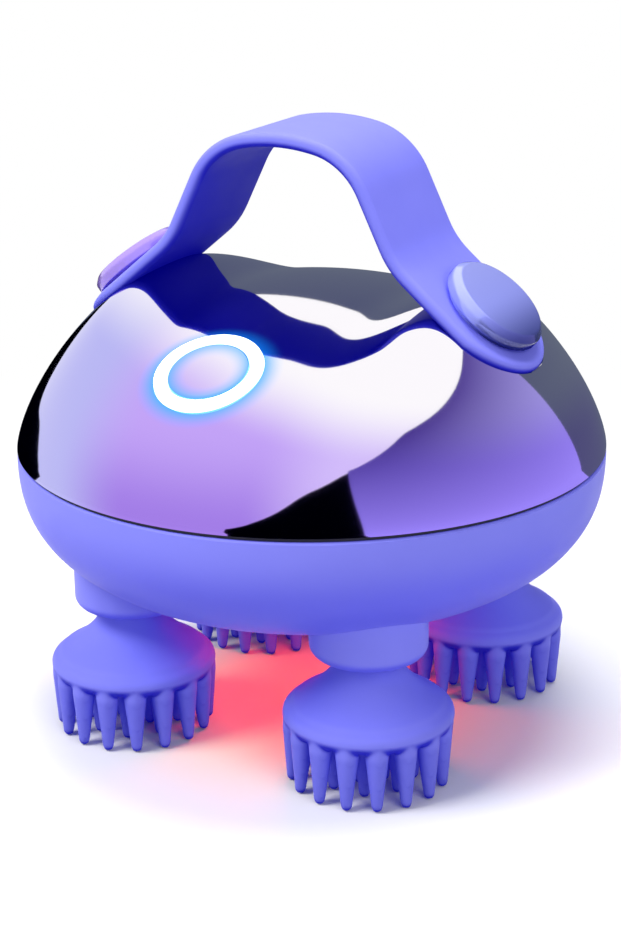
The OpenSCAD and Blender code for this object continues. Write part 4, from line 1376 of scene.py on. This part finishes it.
@dataclass
class MassageHeads:
    """Four soft heads with their nubs. Sizes in millimetres."""

    wardrobe: Wardrobe
    body: Body
    rim_r: float = 16.6
    rim_z: float = 14.0
    rim_round: float = 2.0
    neck_r: float = 5.75
    neck_z: float = 27.0
    nub_base_r: float = 2.25
    nub_tip_r: float = 1.1
    # Count, distance from the axis and outward lean of the nubs in each ring
    rings: tuple[tuple[int, float, float], ...] = ((16, 14.3, 2.5), (8, 8.7, 0.0), (4, 3.4, 0.0))
    voxel: float = 0.36
    bore_r: float = 4.3
    bore_low: float = 15.0

    def outline(self) -> Profile:
        """Gives the half section: neck, hollow flare, round rim and underside."""
        plate = self.rim_z - self.rim_round
        top = self.neck_z - 1.6
        rise = top - (plate + 2 * self.rim_round)
        run = self.rim_r - 0.6 - self.neck_r
        flare = [(self.neck_r + run * (0.5 * t + 0.5 * t**2.1),
                  top - rise * (1.2 * t - 0.2 * t * t))
                 for t in (i / 30 for i in range(1, 28))]
        return ([(0, self.neck_z), (self.neck_r, self.neck_z), (self.neck_r, top)] + flare
                + arc(self.rim_r - self.rim_round, self.rim_z, self.rim_round, 72, -90, 16)
                + [(0, plate)])

    def nub(self, far: float, angle: float, lean: float) -> tuple[np.ndarray, list[list[int]]]:
        """Makes one tapered nub with a round tip and a root inside the rim.

        Args:
            far: Distance of its root from the head's axis.
            angle: Angle round the axis in degrees.
            lean: Outward lean in degrees.

        Returns:
            Points and faces.
        """
        plate = self.rim_z - self.rim_round
        length = (plate - self.nub_tip_r) / math.cos(math.radians(lean)) + self.nub_tip_r
        tip = arc(0, self.nub_tip_r - length, self.nub_tip_r, -90, 0, 6)
        root = self.nub_base_r
        outline = [(max(0.0, r), z) for r, z in tip]
        outline += [(root, -0.9), (root, 1.2), (root - 0.2, 2.2), (root - 1.2, 3.0), (0, 3.2)]
        points, faces = lathe_data(outline, 24)
        place = (Matrix.Rotation(math.radians(angle), 4, "Z") @ Matrix.Translation((far, 0, plate))
                 @ Matrix.Rotation(math.radians(-lean), 4, "Y"))
        full = np.array(place)
        return points @ full[:3, :3].T + full[:3, 3], faces

    def master(self) -> bpy.types.Object:
        """Makes one head on the Z axis, its nubs grown together with the plate."""
        points, faces = lathe_data(self.outline(), 120)
        spots, rows = [points], list(faces)
        for count, far, lean in self.rings:
            for i in range(count):
                more, skin = self.nub(far, (i + 0.5) * 360 / count, lean)
                start = sum(len(s) for s in spots)
                spots.append(more)
                rows += [[start + v for v in face] for face in skin]
        piece = outward(mesh_object("head_master", np.concatenate(spots), rows))
        modified(piece, "REMESH", mode="VOXEL", voxel_size=self.voxel * MM,
                 use_smooth_shade=True)
        modified(piece, "SMOOTH", factor=0.5, iterations=5)
        return cut(piece, [rod_tool("bore", self.bore_r, self.bore_low, 30, None, 64)])

    def build(self) -> None:
        """Builds the head once and places it at each spindle."""
        master = self.master()
        rows = read(master.data.vertices, "co") / MM
        faces = [list(face.vertices) for face in master.data.polygons]
        for k, letter in enumerate("abcd"):
            node = f"massage_head_{letter}"
            piece = crease(mesh_object(f"{node}_soft", rows, faces, self.body.at_head(k)), SOFT)
            self.wardrobe.dress(piece, Coat.SILICONE, f"head_{letter}", node)
        bpy.data.objects.remove(master)


# ---------- Studio ----------


@dataclass(frozen=True)
class Panel:
    """A plain curved panel whose reflection gives the plating a dark band.

    It lies on the floor near the object and stands up further out. Its tone
    runs from low to high with height. The edge lists azimuths from the front
    and the elevation of its top there, in degrees.
    """

    name: str
    low: Colour
    high: Colour
    edge: tuple[tuple[float, float], ...]


BLACK: Colour = (0.0, 0.0, 0.001)
PANELS: tuple[Panel, ...] = (
    Panel("front_panel", BLACK, BLACK, ((0, -14), (15, 5), (30, 27), (47, 38))),
    Panel("right_panel", (0.50, 0.45, 1.0), (0.06, 0.03, 0.25),
          ((47, 38), (75, 46), (146, 44))),
    Panel("rear_panel", (0.12, 0.14, 0.20), (0.06, 0.07, 0.16),
          ((146, 44), (180, 47), (200, 36), (226, 12))),
    Panel("left_panel", BLACK, BLACK, ((226, 3), (245, -3), (258, 0), (272, -12))))


@dataclass
class Studio:
    """Floor, background, lamps, reflection panels and camera."""

    camera_at: tuple[float, float, float] = (197.75, -358.06, 191.45)
    aim: tuple[float, float, float] = (0.0, 0.0, 56.98)
    turn: tuple[float, float, float] = (-0.038, 0.711, 0.403)
    focal_px: float = 2131.9
    image: tuple[int, int] = (621, 931)
    ambient: float = 0.30
    # Name, place in metres, width in metres and power in watts of each lamp
    lamps: tuple[tuple[str, tuple[float, float, float], float, float], ...] = (
        ("key", (-0.55, -0.65, 0.95), 0.6, 12.0),
        ("fill", (0.85, -0.55, 0.6), 0.8, 4.0),
        ("top", (0.0, 0.15, 1.1), 0.6, 9.0))
    sensor: float = 36.0

    def camera(self) -> None:
        """Sets the camera at the photograph's angle."""
        at, aim = np.array(self.camera_at), np.array(self.aim)
        ahead = (aim - at) / np.linalg.norm(aim - at)
        right = np.cross(ahead, [0, 0, 1])
        right /= np.linalg.norm(right)
        base = Matrix([right, np.cross(right, ahead), -ahead])
        yaw, pitch, roll = (math.radians(a) for a in self.turn)
        turned = (Matrix.Rotation(roll, 3, "Z") @ Matrix.Rotation(pitch, 3, "X")
                  @ Matrix.Rotation(yaw, 3, "Y") @ base)
        data = bpy.data.cameras.new("photo_camera")
        data.sensor_fit = "VERTICAL"
        data.sensor_height = self.sensor
        data.lens = self.focal_px / self.image[1] * self.sensor
        data.clip_start, data.clip_end = 0.01, 20.0
        camera = bpy.data.objects.new("photo_camera", data)
        camera.matrix_world = (Matrix.Translation(Vector(self.camera_at) * MM)
                               @ turned.transposed().to_4x4())
        bpy.context.scene.collection.objects.link(camera)
        bpy.context.scene.camera = camera

    def floor(self) -> None:
        """Lays the pale floor, which is clear from below."""
        size, rough = 2500.0, 0.6
        bounce, warm, white = (0.42, 0.42, 0.44), (0.98, 0.91, 0.56), (0.99, 0.99, 1.0)
        warm_span, shadow_span = (0.02, 0.06), (0.06, 0.26)
        points = np.array([[-size, -size, 0], [size, -size, 0], [size, size, 0], [-size, size, 0]])
        floor = mesh_object("floor", points, [[0, 1, 2, 3]])
        material, graph, shader = new_material("pale_floor")
        far = graph.add("VectorMath", {0: graph.place()}, operation="LENGTH").outputs["Value"]
        seen = self.seen_plainly(graph, graph.add("LightPath").outputs)
        pale = graph.mix(graph.eased(far, *warm_span), warm, white)
        graph.feed(shader, {"Base Color": graph.mix(seen, bounce, pale), "Roughness": rough})
        plain = graph.math("MULTIPLY", graph.eased(far, *shadow_span), seen)
        above = graph.blend(plain, shader.outputs[0], graph.add("Emission").outputs[0])
        below = graph.add("NewGeometry").outputs["Backfacing"]
        both = graph.blend(below, above, graph.add("BsdfTransparent").outputs[0])
        graph.feed(graph.tree.nodes["Material Output"], {"Surface": both})
        floor.data.materials.append(material)
        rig.stage(floor)

    @staticmethod
    def seen_plainly(graph: Graph, rays: Given) -> bpy.types.NodeSocket:
        """Marks camera rays and the mirror rays that follow them.

        Args:
            graph: Graph of the material or world.
            rays: Outputs of its Light Path node.

        Returns:
            1 for those rays, and 0 for light that already met a matt surface.
        """
        fresh = graph.math("LESS_THAN", rays["Diffuse Depth"], 0.5)
        mirror = graph.math("MULTIPLY", rays["Is Glossy Ray"], fresh)
        return graph.math("MAXIMUM", rays["Is Camera Ray"], mirror)

    def world(self) -> None:
        """Makes the surroundings white to the camera and to gloss, and soft as light."""
        world = bpy.data.worlds.new("studio")
        bpy.context.scene.world = world
        world.use_nodes = True
        graph, white = Graph(world.node_tree), (1.0, 1.0, 1.0, 1.0)
        nodes = graph.tree.nodes
        rays = graph.add("LightPath").outputs
        seen = graph.math("MAXIMUM", self.seen_plainly(graph, rays), rays["Is Transmission Ray"])
        soft = graph.feed(nodes["Background"], {"Color": white, "Strength": self.ambient})
        bright = graph.add("Background", {"Color": white, "Strength": 1.0})
        both = graph.blend(seen, soft.outputs[0], bright.outputs[0])
        graph.feed(nodes["World Output"], {"Surface": both})

    def lights(self) -> None:
        """Hangs the soft lamps."""
        for name, spot, size, power in self.lamps:
            data = bpy.data.lights.new(name, "AREA")
            data.shape = "DISK"
            data.size = size
            data.energy = power
            lamp = bpy.data.objects.new(name, data)
            lamp.location = spot
            aim = Vector((0, 0, 60 * MM)) - lamp.location
            lamp.rotation_euler = aim.to_track_quat("-Z", "Y").to_euler()
            lamp.visible_glossy = False
            bpy.context.scene.collection.objects.link(lamp)

    def stand(self, panel: Panel) -> None:
        """Stands a panel round the object, for mirror surfaces alone.

        Args:
            panel: Its tones and its upper edge.
        """
        near, far, eye, lift, full_tone = 195.0, 620.0, 72.0, 1.0, 720.0
        azimuths = np.arange(panel.edge[0][0], panel.edge[-1][0] + 0.5, 1.0)
        tops = np.interp(azimuths, *zip(*panel.edge))
        tops = np.convolve(np.pad(tops, 4, "edge"), np.ones(9) / 9, "valid")
        points: list[tuple[float, float, float]] = []
        for turn, slope in zip(np.radians(azimuths), np.tan(np.radians(tops))):
            top = eye + far * slope
            out = far if top > lift else (lift - eye) / slope
            for r, z in ((near, lift), (out, lift), (out, max(top, lift))):
                points.append((r * math.sin(turn), -r * math.cos(turn), z))
        faces = [[3 * c + k, 3 * c + 3 + k, 3 * c + 4 + k, 3 * c + 1 + k]
                 for c in range(len(azimuths) - 1) for k in (0, 1)]
        piece = mesh_object(panel.name, np.array(points), faces)
        material, graph, shader = new_material(panel.name)
        graph.tree.nodes.remove(shader)
        height = graph.add("SeparateXYZ", {0: graph.place()}).outputs["Z"]
        rise = graph.add("MapRange", {"Value": height, "From Max": full_tone * MM})
        tone = graph.mix(rise.outputs["Result"], panel.low, panel.high)
        shine = graph.add("Emission", {"Color": tone}).outputs[0]
        graph.feed(graph.tree.nodes["Material Output"], {"Surface": shine})
        piece.data.materials.append(material)
        for kind in ("camera", "diffuse", "transmission", "volume_scatter", "shadow"):
            setattr(piece, f"visible_{kind}", False)
        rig.stage(piece)

    def build(self) -> None:
        """Builds the whole studio."""
        bpy.context.scene.view_settings.view_transform = "Standard"
        self.camera()
        self.floor()
        self.world()
        self.lights()
        for panel in PANELS:
            self.stand(panel)
        log.info("studio: %d lamps, %d panels", len(self.lamps), len(PANELS))


def write_sizes() -> None:
    """Writes the CAD model's box and the visual model's box."""
    boxes = {"cad": [list(map(float, corner)) for corner in CAD_BOX],
             "visual": [list(map(float, corner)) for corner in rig.bounds()]}
    with open("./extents.json", "w") as file:
        json.dump(boxes, file)


def main() -> None:
    """Builds the studio and every piece in order."""
    Studio().build()
    wardrobe = Wardrobe()
    handle = Handle(wardrobe)
    button = Button(wardrobe)
    body = Body(wardrobe)
    body.build(handle, button)
    handle.build()
    button.build()
    MassageHeads(wardrobe, body).build()
    wardrobe.dress_nodes()
    write_sizes()


if __name__ == "__main__":
    main()
